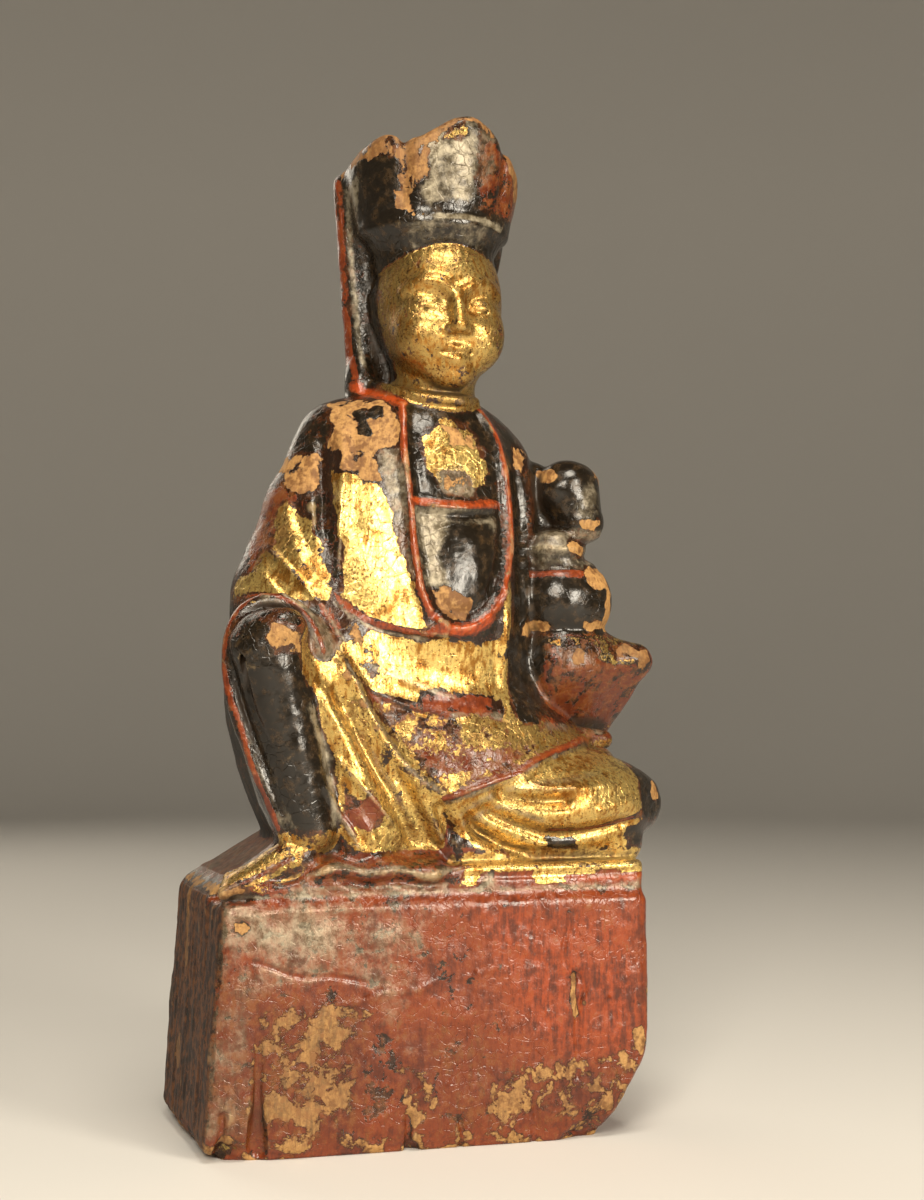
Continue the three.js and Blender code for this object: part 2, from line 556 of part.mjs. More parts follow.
// A closed block of space under the floor, which cuts the flat underside
function underFloor() {
  const depth = 20;
  const size = 2 * (GRID_HIGH[0] - GRID_LOW[0]);
  const plain = new THREE.BoxGeometry(size, size, depth).translate(0, 0, -depth / 2);
  plain.deleteAttribute('normal');
  plain.deleteAttribute('uv');
  const merged = mergeVertices(plain);
  return solidOf(merged.attributes.position.array, merged.index.array);
}

// The face keeps more of its triangles than the broad forms
const finer = ({ z }) => (z > CHIN_Z - 9 && z < HEIGHT ? FACE_WEIGHT : 1);
const carving = thin(skin(sample(figure)), TRIANGLES, finer);
const cutFlat = solidOf(carving.points.flat(), carving.triangles.flat()).subtract(underFloor()).getMesh();

const geometry = new THREE.BufferGeometry();
geometry.setAttribute('position', new THREE.BufferAttribute(cutFlat.vertProperties, 3));
geometry.setIndex(new THREE.BufferAttribute(cutFlat.triVerts, 1));
geometry.computeVertexNormals();

const lacqueredWood = new THREE.MeshStandardMaterial({ color: 0x7a4f2b, roughness: 0.45, metalness: 0.2 });
const carvedFigure = new THREE.Mesh(geometry, lacqueredWood);
carvedFigure.name = 'carved_figure';

const group = new THREE.Group();
group.name = 'guanyin_statuette';
group.add(carvedFigure);

export default group;
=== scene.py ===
"""A seated guanyin with a child, carved with its block from one piece of wood, in worn lacquer and gold leaf.

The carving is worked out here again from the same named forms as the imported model, with finer cuts added.
Forms are in millimetres and facing -Y; the meshes are scaled to metres at the end.
"""
import math
from functools import reduce

import bpy
import numpy as np
from mathutils import Matrix, Vector


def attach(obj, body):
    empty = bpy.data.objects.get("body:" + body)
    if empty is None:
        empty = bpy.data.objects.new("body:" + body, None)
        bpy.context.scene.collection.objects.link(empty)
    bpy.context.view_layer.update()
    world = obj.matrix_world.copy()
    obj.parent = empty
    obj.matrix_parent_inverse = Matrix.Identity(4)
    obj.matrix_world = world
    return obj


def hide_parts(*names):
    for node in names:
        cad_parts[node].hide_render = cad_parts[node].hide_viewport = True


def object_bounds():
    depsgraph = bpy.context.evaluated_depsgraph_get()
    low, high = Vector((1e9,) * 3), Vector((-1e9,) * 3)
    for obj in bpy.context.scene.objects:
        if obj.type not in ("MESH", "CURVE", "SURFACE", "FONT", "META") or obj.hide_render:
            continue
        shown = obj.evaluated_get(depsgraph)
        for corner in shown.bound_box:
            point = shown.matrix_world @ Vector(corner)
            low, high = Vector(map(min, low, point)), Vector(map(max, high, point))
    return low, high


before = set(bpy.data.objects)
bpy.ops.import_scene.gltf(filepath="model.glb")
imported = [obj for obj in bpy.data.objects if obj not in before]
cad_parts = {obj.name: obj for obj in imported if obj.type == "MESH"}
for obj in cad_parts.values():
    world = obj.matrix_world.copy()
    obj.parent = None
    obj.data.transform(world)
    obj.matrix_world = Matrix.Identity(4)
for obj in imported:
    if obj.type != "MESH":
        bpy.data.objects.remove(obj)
cad_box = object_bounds()

MM = 0.001
SEED = 27

# Driving sizes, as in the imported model
HEIGHT = 300
BLOCK_WIDTH = 131
BLOCK_DEPTH = 74
BLOCK_HEIGHT = 70
BLOCK_FLARE = 5
BODY_X = 6.5
HEAD_X = 11.5
CHIN_Z = 219
HAIRLINE_Z = 262
CROWN_X = 10.5
CROWN_PEAK_X = 15.5
LEDGE_Z = 268.5

# How finely the surface is worked out
GRID_STEP = 0.65
GRID_LOW = (-76, -46, -4)
GRID_HIGH = (88, 46, 306)
TRIANGLES = 190000
CELL_SIZES = (8, 4, 2, 1)
CELL_SLACK = 1.25
CELL_MARGIN = 1.6
CELL_DIAGONAL = 1.45
CURVE_STEPS = 20
FOLD_REACH = 2.5
FOLD_FADE = 4
NOISE_CELLS = 64
BELOW = 2.5
FAR = 30.0
TINY = 1e-6


# Arithmetic on distances


def step(low, high, value):
    t = np.clip((value - low) / (high - low), 0, 1)
    return t * t * (3 - 2 * t)


def bell(value, width):
    return np.exp(-((value / width) ** 2))


def join(a, b, k):
    h = np.maximum(k - np.abs(a - b), 0) / k
    return np.minimum(a, b) - h * h * k / 4


def meet(a, b, k):
    return -join(-a, -b, k)


def cut(a, tool, k):
    return meet(a, -tool, k)


def most(*values):
    return np.maximum.reduce(np.broadcast_arrays(*values))


def least(*values):
    return np.minimum.reduce(np.broadcast_arrays(*values))


# Forms: a signed distance that is negative inside


def egg(p, centre, radii):
    u = [(axis - c) / r for axis, c, r in zip(p, centre, radii)]
    k0 = np.sqrt(sum(a * a for a in u))
    k1 = np.sqrt(sum((a / r) ** 2 for a, r in zip(u, radii)))
    return k0 * (k0 - 1) / np.maximum(k1, TINY)


def limb(p, a, b, ra, rb):
    d = [end - start for start, end in zip(a, b)]
    q = [axis - start for axis, start in zip(p, a)]
    t = np.clip(sum(u * v for u, v in zip(q, d)) / sum(v * v for v in d), 0, 1)
    return np.sqrt(sum((u - t * v) ** 2 for u, v in zip(q, d))) - (ra + (rb - ra) * t)


def box(p, centre, half, radius):
    q = [np.abs(axis - c) - h + radius for axis, c, h in zip(p, centre, half)]
    outside = np.sqrt(sum(np.maximum(a, 0) ** 2 for a in q))
    return outside + np.minimum(most(*q), 0) - radius


def smooth_way(points, count):
    """Evenly spaced points along a centripetal Catmull-Rom curve."""
    pts = np.array(points, float)
    pts = np.vstack([2 * pts[0] - pts[1], pts, 2 * pts[-1] - pts[-2]])
    fine = [pts[1]]
    for p0, p1, p2, p3 in zip(pts, pts[1:], pts[2:], pts[3:]):
        d0, d1, d2 = (max(np.linalg.norm(b - a) ** 0.5, TINY) for a, b in ((p0, p1), (p1, p2), (p2, p3)))
        m1 = ((p1 - p0) / d0 - (p2 - p0) / (d0 + d1) + (p2 - p1) / d1) * d1
        m2 = ((p2 - p1) / d1 - (p3 - p1) / (d1 + d2) + (p3 - p2) / d2) * d1
        for t in np.linspace(0, 1, CURVE_STEPS + 1)[1:]:
            a, b = t * t * (3 - 2 * t), t * t * (t - 1)
            fine.append(p1 * (1 - a) + p2 * a + m1 * (t - 2 * t * t + t ** 3) + m2 * b)
    fine = np.array(fine)
    run = np.concatenate([[0], np.cumsum(np.linalg.norm(np.diff(fine, axis=0), axis=1))])
    at = np.linspace(0, run[-1], count + 1)
    return np.stack([np.interp(at, run, fine[:, i]) for i in range(fine.shape[1])], axis=1)


def rope(points, radius):
    way = smooth_way(points, len(points) * 3)
    return lambda p: least(*[limb(p, a, b, radius, radius) for a, b in zip(way, way[1:])])


def mirrored(p, middle):
    return [middle + np.abs(p[0] - middle), p[1], p[2]]


def where(keep, p, form):
    """A form that is worked out only where keep is true, and far away elsewhere."""
    d = np.full(p[0].shape, FAR, p[0].dtype)
    if keep.any():
        d[keep] = form([axis[keep] for axis in p])
    return d


class Fold:
    """A line of [x, z] points as seen from the front, with a height and a width on each side."""

    def __init__(self, points, height, left, right=None, taper=0.15):
        self.way = smooth_way(points, len(points) * 3)
        self.height = height
        self.left = left
        self.right = left if right is None else right
        self.taper = taper
        reach = FOLD_REACH * max(self.left, self.right)
        self.low = self.way.min(axis=0) - reach
        self.high = self.way.max(axis=0) + reach

    def add(self, total, x, z):
        keep = (x > self.low[0]) & (x < self.high[0]) & (z > self.low[1]) & (z < self.high[1])
        if not keep.any():
            return
        u, v = x[keep], z[keep]
        nearest = np.full(u.shape, np.inf, u.dtype)
        side = np.ones_like(u)
        along = np.zeros_like(u)
        last = len(self.way) - 1
        for i, (a, b) in enumerate(zip(self.way, self.way[1:])):
            dx, dz = b - a
            t = np.clip(((u - a[0]) * dx + (v - a[1]) * dz) / (dx * dx + dz * dz), 0, 1)
            distance = np.hypot(u - a[0] - t * dx, v - a[1] - t * dz)
            closer = distance < nearest
            nearest = np.where(closer, distance, nearest)
            side = np.where(closer, (u - a[0]) * dz - (v - a[1]) * dx, side)
            along = np.where(closer, (i + t) / last, along)
        ends = step(0, self.taper, along) * step(1, 1 - self.taper, along)
        width = np.where(side < 0, self.left, self.right)
        total[keep] += self.height * bell(nearest, width) * ends


def lumpy(p, size, seed, stretch=1.0):
    """Smooth noise from -1 to 1 with lumps about size millimetres across, drawn out along Z by stretch."""
    table = np.random.default_rng(seed).uniform(-1, 1, (NOISE_CELLS,) * 3).astype(np.float32)
    scaled = [p[0] / size, p[1] / size, p[2] / size / stretch]
    cells = [np.floor(axis).astype(int) for axis in scaled]
    parts = [step(0, 1, axis - cell) for axis, cell in zip(scaled, cells)]
    total = np.zeros(p[0].shape)
    for corner in np.ndindex(2, 2, 2):
        weight = 1.0
        for side, part in zip(corner, parts):
            weight = weight * (part if side else 1 - part)
        total += weight * table[tuple((cell + side) % NOISE_CELLS for cell, side in zip(cells, corner))]
    return total


def relief(folds, p, edge=-2):
    """The height of the folds, which fade out towards the back round the depth edge."""
    x, y, z = p
    total = np.zeros_like(x)
    for one in folds:
        one.add(total, x, z)
    return total * step(edge + FOLD_FADE, edge - FOLD_FADE, y)


# The sleeve, the lapel, the neck border and the waist
TORSO_FOLDS = [
    Fold([[-20.5, 211], [-22.5, 184], [-25.5, 156]], 1.6, 2, 3),
    Fold([[-25, 207], [-26.5, 184], [-28.5, 160]], -1.8, 2.5, 2),
    Fold([[-37, 176], [-32, 160], [-25.5, 146]], 1.8, 2.4),
    Fold([[-34, 186], [-31.5, 166], [-27, 152]], -1.6, 2),
    Fold([[-30.5, 186], [-29, 170], [-26, 158]], 1.3, 1.8),
    Fold([[-42, 168], [-37, 155], [-31, 148]], -1.3, 2.2),
    Fold([[-2.5, 216], [-4.4, 199], [-3.6, 184], [-3, 170], [-1.8, 158], [1.4, 150]], 1.5, 1.6, 1.6, 0.03),
    Fold([[1.4, 150.4], [8, 146.4], [18, 149.5], [24, 157], [27.5, 167], [29, 178], [28.4, 190], [26.5, 203],
          [21, 215]], 1.5, 1.7, 1.7, 0.03),
    Fold([[0, 214], [-1.2, 199], [-0.5, 184], [0, 170], [2, 158], [8, 151], [17, 154], [23, 166], [25, 180],
          [23, 202]], -1, 1.8),
    Fold([[-2.5, 183.5], [11, 182.5], [25, 184]], 1.1, 1.4, 1.4, 0.04),
    Fold([[-3, 180.5], [11, 179.5], [26, 181]], -0.8, 1.2),
    Fold([[-26, 156], [-20, 150.5], [-11, 147], [0, 145], [7, 144.5]], 1.7, 5, 0.9, 0.06),
    Fold([[-27.5, 154], [-24.5, 143], [-14, 134], [-1, 129], [8, 126], [22, 125]], 2.1, 3.2, 1.6),
    Fold([[-24, 136], [-13, 129], [0, 124], [10, 122]], -1.3, 2.5),
    Fold([[26, 160], [25.6, 142], [25.4, 122]], 1.8, 2, 2.2, 0.08),
    Fold([[31, 207], [33.5, 180], [32, 156], [31, 124]], -2.2, 2.6),
    Fold([[38, 206], [40, 190], [38, 172]], 0.9, 2.4),
]

# The cloth over the raised leg and between the legs
LAP_FOLDS = [
    Fold([[-41, 137], [-31.5, 126], [-22.5, 109], [-14, 95], [-4, 83]], 1.8, 3.4),
    Fold([[-36, 118], [-29, 104], [-21, 90], [-16, 83]], -1.8, 2),
    Fold([[-31, 106], [-23.5, 95], [-15, 84]], 1.6, 2),
    Fold([[-29, 132], [-18, 110], [-9, 94], [-1, 82]], -2.2, 2),
    Fold([[-27, 140], [-18.5, 125], [-12, 113], [-6, 105], [4.5, 98]], 2, 2.2),
    Fold([[-11, 108], [-6, 98], [0, 88], [6, 80]], -1.6, 1.8),
    Fold([[-6, 104], [-1, 95], [6, 84]], 1.2, 1.8),
    Fold([[2, 98], [5.5, 90], [12, 81]], -2.2, 2),
    Fold([[-12, 120], [0, 111], [12, 106]], -0.9, 3),
    Fold([[22, 123], [38, 119], [56, 114]], 0.9, 4),
]

# The folded leg and its border
LEG_FOLDS = [
    Fold([[4, 98], [14.5, 101.7], [25.5, 105.3], [34.5, 109.6], [45, 112.8], [55, 114], [63, 110]],
         1.7, 1.6, 2.4, 0.05),
    Fold([[17, 100], [28.5, 97.2], [37, 96.8], [43, 97.5]], -2.4, 2.1),
    Fold([[8, 91], [13, 95.8], [22, 99.2], [36, 100.4], [52, 101.4], [63, 102]], 0.9, 1.7),
    Fold([[12, 97.5], [19.5, 93], [26.5, 90], [33, 88], [38.5, 87.4], [47, 88], [56, 89.8], [66, 92]],
         -2.5, 2.1),
    Fold([[10, 95], [15, 88.5], [23, 84], [33, 81]], -2.2, 1.9),
]

# The ripples beside the foot, and the band under the folded leg
HEM_FOLDS = [
    Fold([[-36, 77.2], [-27, 79.8], [-19, 77.6], [-11, 78.8], [-3, 76.6], [6, 78]], 1, 2),
    Fold([[-38, 75.4], [-28, 76.4], [-20, 74.2], [-11, 75.4], [-2, 73.8], [7, 75]], -1.2, 1.4),
    Fold([[6, 80.4], [38, 80.2], [64, 80.2]], -0.9, 1.1, 1.1, 0.03),
    Fold([[8, 76], [36, 75.8], [64, 76.2]], -0.6, 0.9, 0.9, 0.03),
]

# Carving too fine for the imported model: cloth, sleeve, sash, and the block's cracks and ridges
FINE_FOLDS = [
    Fold([[-29, 111.5], [-20, 101], [-10, 90]], 0.9, 1.1),
    Fold([[-25, 119], [-17, 105], [-8, 94.5]], 0.8, 1),
    Fold([[-32, 104], [-27, 95], [-21, 86]], 0.9, 1.1),
    Fold([[-24, 134], [-12, 126.5], [0, 123], [14, 121.5]], 0.8, 1.1),
    Fold([[-20, 131], [-9, 124.5], [6, 120.5]], -0.6, 1),
    Fold([[-44.5, 172.5], [-34.5, 159], [-29, 151]], 0.8, 1),
    Fold([[-47, 165], [-40, 155], [-35, 151]], 0.6, 1),
    Fold([[-22.8, 190], [-23.5, 172], [-25.5, 157]], 0.5, 0.8),
    Fold([[25, 104], [33, 101], [44, 101.5]], 0.7, 1.4),
    Fold([[20, 86], [28, 84.3], [38, 84]], 0.6, 1.1),
    Fold([[48, 93.5], [56, 95.5], [63, 97.5]], 0.7, 1.3),
    Fold([[-54.6, 55], [-47.6, 53], [-39.8, 50], [-29, 49.4], [-16, 46.6]], -0.6, 0.6),
    Fold([[-30, 41.2], [-22.6, 42], [-14, 44.3], [-5.3, 44.6], [-0.8, 46.3], [3.6, 49.4]], 0.4, 0.55),
    Fold([[6.6, 46.9], [14.4, 48.9], [21, 50.3]], 0.3, 0.5),
    Fold([[25, 57], [28.3, 53]], 0.35, 0.5),
    Fold([[39.4, 68], [40.8, 62], [39.4, 58], [38.8, 51], [42.9, 47], [45.3, 43.7], [42.9, 37.5], [42.5, 25]],
         -0.5, 0.5),
    Fold([[-7.4, 23], [-2.9, 18.7], [-13.9, 10.5], [-18, 7.4]], 0.35, 0.5),
    Fold([[-59.5, 66], [-40, 67.6], [-10, 67.8]], 0.4, 1.2),
    Fold([[-59.6, 15], [-60, 8], [-60.2, -3]], -1.4, 1, 1.6, 0.1),
    Fold([[-7.6, 11], [-7.2, 5], [-7.4, -3]], -1.2, 0.8, 1.2, 0.1),
    Fold([[7.6, 9], [8.2, 4], [8, -3]], -1, 0.8, 0.8, 0.1),
    Fold([[30, 12], [30.6, 6], [30, -3]], -0.9, 0.7, 1, 0.1),
]


def worn_edge(x):
    """How far the lower front edge of the block is worn up, along X."""
    return 2 + 5 * bell(x + 60, 9) + 4.5 * step(36, 46, x)


def block(p):
    x, y, z = p
    left = -BLOCK_WIDTH / 2 + BLOCK_FLARE * z / BLOCK_HEIGHT - x
    right = x - BLOCK_WIDTH / 2
    sides = meet(meet(left, right, 3), meet(-BLOCK_DEPTH / 2 - y, y - BLOCK_DEPTH / 2, 3), 4)
    corner = (x - 55.5) * 0.84 - (z - 9) * 0.54 - (y + 37) * 0.12
    front_wear = (worn_edge(x) - z) * 0.64 - (y + 37) * 0.77
    left_wear = (4 - z) * 0.7 - (x + 65.5) * 0.71
    worn = meet(meet(corner, front_wear, 2), left_wear, 2)
    d = np.maximum(meet(meet(sides, z - BLOCK_HEIGHT, 3), worn, 2), -BELOW - z)
    d = cut(d, limb(p, [-50, -37.5, 42], [-50.5, -37, -2], 0.4, 3.2), 0.8)
    d = cut(d, limb(p, [43.5, -37.6, 47], [43, -37.2, 18], 1.3, 0.6), 0.6)
    return cut(d, limb(p, [-5.5, -38, 3], [-5.5, -34, -1], 1, 2), 0.8)


def robe_foot(p):
    x, y, z = p
    ledge = box(p, [6, -0.5, 72], [58.5, 35.2, 9], 3)
    on_right = meet(-0.56 * x + 0.83 * z - 93.4, -x - 60.5, 3)
    on_left = meet(0.85 * x + 0.53 * z - 95, x - 62.5, 3)
    behind = meet(0.78 * y + 0.62 * z - 72.5, y - 36, 3)
    slopes = most(meet(meet(on_right, on_left, 4), behind, 4), -y - 16, z - 104, 60 - z)
    top = z - 75 - 3.4 * step(-44, -30, x) - 1.4 * step(4, 12, x)
    hem = np.full_like(x, FAR)
    for at, length, rise in ((-29, 9, 4), (-14, 8, 5.5), (-1, 7, 4.5)):
        hem = join(hem, egg(p, [at, -30, 77], [length, 7, rise]), 2)
    hem = join(hem, limb(p, [-33, -23, 80], [1, -23, 79], 6.5, 6), 3)
    return join(join(meet(ledge, top, 2), hem, 2) - relief(HEM_FOLDS, p), slopes, 4)


KNEE_RIM = rope([
    [-31.5, -29, 141], [-35.5, -27, 150], [-43, -24, 154], [-50, -22, 152.5], [-54.5, -22, 147],
    [-56, -23, 138],
    [-55.5, -24, 128], [-52.5, -26, 117], [-49, -28, 107], [-45.5, -29, 98], [-41.5, -30, 89],
], 2.3)
SHIN_GROOVE = rope([[-53, -32, 143], [-53, -31, 128], [-47.5, -34, 112], [-42, -36, 97]], 1.5)


def raised_leg(p):
    shin = limb(p, [-46, -27, 141], [-34, -28, 90], 10.8, 7.6)
    hand = egg(p, [-43, -33, 146], [7, 6, 6])
    toes = limb(p, [-37, -28, 82], [-55, -29.5, 74], 6.4, 4.4)
    for n in range(4):
        spread = n * 3
        toes = join(toes, limb(p, [-41, -32 + spread, 81.5], [-59 + n, -32.5 + spread, 73 + n], 2.3, 2), 1)
    leg = join(join(shin, hand, 3), join(KNEE_RIM(p), toes, 3), 1.2)
    return cut(leg, SHIN_GROOVE(p), 1)


def lap(p):
    middle = egg(p, [8, -3, 104], [50, 32, 30])
    right_robe = egg(p, [-22, 0, 132], [31, 29, 50])
    back_robe = egg(p, [4, 8, 112], [47, 36, 62])
    thigh = limb(p, [-44, -17, 139], [-16, 8, 124], 12.5, 24)
    robe_side = limb(p, [-43, -14, 128], [-34, -17, 92], 10.5, 9)
    hanging = limb(p, [-34, -21, 138], [-18, -24, 85], 9.5, 9.5)
    behind = join(back_robe, join(thigh, robe_side, 6), 8)
    cloth = join(join(join(middle, right_robe, 8), behind, 8), hanging, 6) - relief(LAP_FOLDS, p)
    facet = 0.72 * (p[0] - 66) - 0.69 * (p[1] + 30)
    folded = meet(egg(p, [39, -13, 95.2], [39.5, 25, 17.2]), facet, 1.5)
    tucked = limb(p, [12, -23.5, 83.5], [60.5, -21, 84.5], 8, 8.5)
    return join(cloth, join(folded, tucked, 2), 2) - relief(LEG_FOLDS, p)


def torso(p):
    chest = egg(p, [BODY_X, 3, 188], [35, 24, 34])
    belly = egg(p, [BODY_X, -2, 152], [33, 28, 38])
    upper_arm = limb(p, [-17, 6, 203], [-26, 4, 182], 14, 14.2)
    forearm = limb(p, [-26, 4, 182], [-34.5, 0, 158], 14.2, 16.5)
    left_arm = limb(p, [29.5, 8, 199], [35, 10, 160], 12.5, 14)
    panel = egg(p, [12, -14, 166], [14, 14, 18])
    back = egg(p, [4, 7, 170], [40, 32, 48])
    arms = join(join(upper_arm, forearm, 4), left_arm, 4)
    body = join(join(chest, belly, 8), join(arms, back, 6), 6)
    return join(body, panel, 4) - relief(TORSO_FOLDS, p, 6)


# The face is a general one: the hairline, brow, nose and chin a third apart, the eyes half closed
FACE_THIRD = (HAIRLINE_Z - CHIN_Z) / 3
BROW_Z = CHIN_Z + 2 * FACE_THIRD
NOSE_Z = CHIN_Z + FACE_THIRD
MOUTH_Z = NOSE_Z - FACE_THIRD / 3


def on_face(x, y, z):
    return [HEAD_X + x, y, z]


BROW = rope([
    on_face(1.8, -21.3, BROW_Z - 0.5), on_face(5, -21.2, BROW_Z + 1.8), on_face(10, -18.9, BROW_Z + 2.2),
    on_face(14.5, -14.8, BROW_Z - 0.6),
], 1.2)
UPPER_LIP = rope([
    on_face(0, -21.6, MOUTH_Z + 1.2), on_face(1.6, -21.5, MOUTH_Z + 1.5), on_face(5, -19.3, MOUTH_Z + 0.9),
], 1.05)
LOWER_LIP = rope([on_face(0, -21, MOUTH_Z - 1.5), on_face(3.4, -19.8, MOUTH_Z - 0.9)], 1.25)
EYE_SLIT = rope([
    on_face(3.4, -20.8, BROW_Z - 6), on_face(7.6, -21, BROW_Z - 6.8), on_face(12.2, -17.6, BROW_Z - 5.2),
], 0.5)
MOUTH_SLIT = rope([
    on_face(0, -22.6, MOUTH_Z), on_face(2.6, -21.9, MOUTH_Z - 0.1), on_face(5.6, -19.6, MOUTH_Z + 0.9),
], 0.45)
COLLAR = rope([[-9, 6, 222], [-4, -6, 219], [5, -13, 216], [14, -14, 215.5], [21, -8, 216]], 1.6)
EAR = rope([on_face(17.8, 3.5, NOSE_Z + 15), on_face(17, 3, NOSE_Z + 7), on_face(13.5, 2, NOSE_Z - 2)], 2.3)


def face(p, head):
    q = mirrored(p, HEAD_X)
    d = join(head, egg(q, on_face(8.5, -13.8, NOSE_Z + 1), [8, 8, 9]), 5)
    d = cut(d, egg(q, on_face(7.5, -24.6, BROW_Z - 4), [6.8, 4.8, 4.4]), 3)
    d = join(d, egg(q, on_face(7.6, -17.2, BROW_Z - 5.4), [5.2, 3.9, 3.3]), 0.8)
    d = cut(d, EYE_SLIT(q), 0.4)
    d = join(d, BROW(q), 2.4)
    d = join(d, limb(q, on_face(0, -21.2, BROW_Z - 1), on_face(0, -24.6, NOSE_Z + 3.2), 1.7, 2.5), 1.6)
    d = join(d, egg(q, on_face(0, -24.4, NOSE_Z + 2.6), [2.6, 2.4, 2.2]), 0.8)
    d = join(d, egg(q, on_face(2.7, -22.6, NOSE_Z + 1.9), [1.7, 2.3, 1.7]), 0.7)
    d = join(d, UPPER_LIP(q), 0.9)
    d = join(d, LOWER_LIP(q), 0.9)
    d = cut(d, MOUTH_SLIT(q), 0.5)
    d = join(d, egg(q, on_face(0, -15.6, CHIN_Z + 4.2), [7, 4.8, 4.4]), 4)
    return join(d, EAR(q), 1.5)


def head(p):
    skull = egg(p, [HEAD_X, 0, 248], [19.5, 22, 22])
    jaw = egg(p, [HEAD_X, -5, 235], [15.4, 17, 16])
    neck = limb(p, [HEAD_X - 2, 0, 205], [HEAD_X - 1, 0, 225], 14, 12.5)
    return join(join(face(p, join(skull, jaw, 8)), neck, 3), COLLAR(p), 1.5)


def crown_rim(x, y):
    d = x - CROWN_PEAK_X
    tall = np.where(d > 0, HEIGHT - 0.98 * d * d / (np.abs(d) + 9), HEIGHT - 15 + 15 * bell(d, 17))
    front = tall + 7.3 * bell(x + 9.5, 7.5)
    return front + (HEIGHT - 15 - front) * step(6, 22, y)


def crown(p):
    x, y, z = p
    flare = step(LEDGE_Z - 10, LEDGE_Z + 22, z)

    def oval(ra, rb):
        return (np.hypot((x - CROWN_X) / ra, (y - 1) / rb) - 1) * rb

    leaves = meet(oval(22.5 + 4.7 * flare, 20 + 4.5 * flare), z - crown_rim(x, y), 4)
    leaves = meet(leaves, LEDGE_Z - 3 - z, 3)
    hairline = HAIRLINE_Z + 0.5 - 0.022 * (x - CROWN_X) ** 2
    widen = 3.4 * step(HAIRLINE_Z - 3, LEDGE_Z, z)
    band = meet(meet(oval(18.4 + widen, 18.6 + widen), z - LEDGE_Z, 2), hairline - z, 1.5)
    ledge = meet(oval(22.8, 22), np.abs(z - LEDGE_Z) - 1.6, 1.5)
    grooves = np.where(y < 0, bell(x + 3.5, 1.8) * 1.3 + bell(x - 27.5, 1.8) * 1.3, 0)
    wall = cut(leaves, egg(p, [CROWN_X, 3, HEIGHT - 5], [20, 15, 12]), 3)
    return join(join(wall + grooves * step(LEDGE_Z + 1, LEDGE_Z + 8, z), band, 1.5), ledge, 1.5)


def veil(p):
    x, y, z = p
    narrow = step(268, 224, z)
    a = 25.5 - 8.5 * narrow + 2 * step(262, 287, z) + 9 * step(222, 200, z)
    middle = CROWN_X - 6 * narrow
    shell = (np.hypot((x - middle) / a, (y - 8) / 19) - 1) * 19
    creases = 0.7 * np.cos((x - middle) * 0.62) * step(14, 22, y) * step(286, 268, z)
    body = meet(meet(shell - creases, 6 - y, 5), np.maximum(z - 285, 190 - z), 6)
    edge = limb(p, [-15, 10, 284], [-10, 12, 224], 3.5, 3.4)
    return join(join(body, edge, 2), egg(p, [-10.5, 8, 222], [4.5, 5.5, 9]), 3)


def child(p):
    x, y, z = p
    skull = limb(p, [52, -5, 189], [54.8, -9, 180.5], 10.8, 7.2)
    scarf = egg(p, [46.5, -6, 171], [10, 11, 7.5])
    jacket = meet(egg(p, [49.5, -7, 156], [15.5, 13.5, 14.5]), 146 - z, 3)
    knees = limb(p, [49, -8, 137], [71, -13, 138], 13.5, 5.2)
    under = limb(p, [69, -13, 137], [56, -6, 114], 5.5, 11.5)
    front = (x - 58) * 0.2 - (y + 21) * 0.75 - (z - 136) * 0.63
    seat = limb(p, [51, -5, 137], [51, -3, 113], 16, 13)
    sill = limb(p, [38, -13, 117], [62, -9, 114], 3, 3)
    back = limb(p, [42, 3, 192], [44, 2, 160], 8, 10)
    wedge = meet(join(join(knees, under, 3), seat, 3), front, 1.5)
    skirt = join(join(wedge, sill, 2), back, 2)
    return join(join(skull, scarf, 2.5), join(jacket, skirt, 1.5), 2)


def flat_back(p, body):
    x, y, z = p
    fan = (x - BODY_X) / (1 + 0.004 * (205 - z))
    folds = np.cos(fan * 0.5) * step(14, 26, y) * step(204, 180, z)
    return meet(body, y - 33.5 + 0.03 * (z - 75) - 0.9 * folds, 8)


def figure(p):
    x, y, z = p
    d = where(z < 90, p, block)
    d = join(d, where(z < 120, p, robe_foot), 2)
    robes = join(where(z < 200, p, lap), where(z > 95, p, torso), 5)
    d = join(d, flat_back(p, robes), 3)
    d = join(d, where((z < 172) & (x < -10) & (y < 10), p, raised_leg), 2.5)
    d = join(d, where((z > 88) & (z < 215) & (x > 15), p, child), 2)
    d = join(d, where(z > 190, p, head), 2.5)
    d = join(d, where(z > 190, p, lambda q: join(crown(q), veil(q), 3)), 2)
    return d - relief(FINE_FOLDS, p) - small_grooves(p)


def small_grooves(p):
    """Strands of hair under the crown's ledge, folds of the child's scarf and gouge marks on the crown."""
    x, y, z = p
    turn = np.arctan2(x - CROWN_X, -y)
    hair = 0.1 * np.cos(turn * 40) * step(257, 260, z) * step(266.5, 264.5, z) * step(6, 2, y)
    scarf = 0.25 * np.cos(z * 1.5) * step(163, 165, z) * step(178, 176, z) * step(32, 34, x) * step(0, -4, y)
    tooled = 0.04 * np.cos(turn * 21 + 0.4 * np.sin(z * 0.3)) * step(272, 277, z) * step(6, 2, y)
    return hair + scarf + tooled


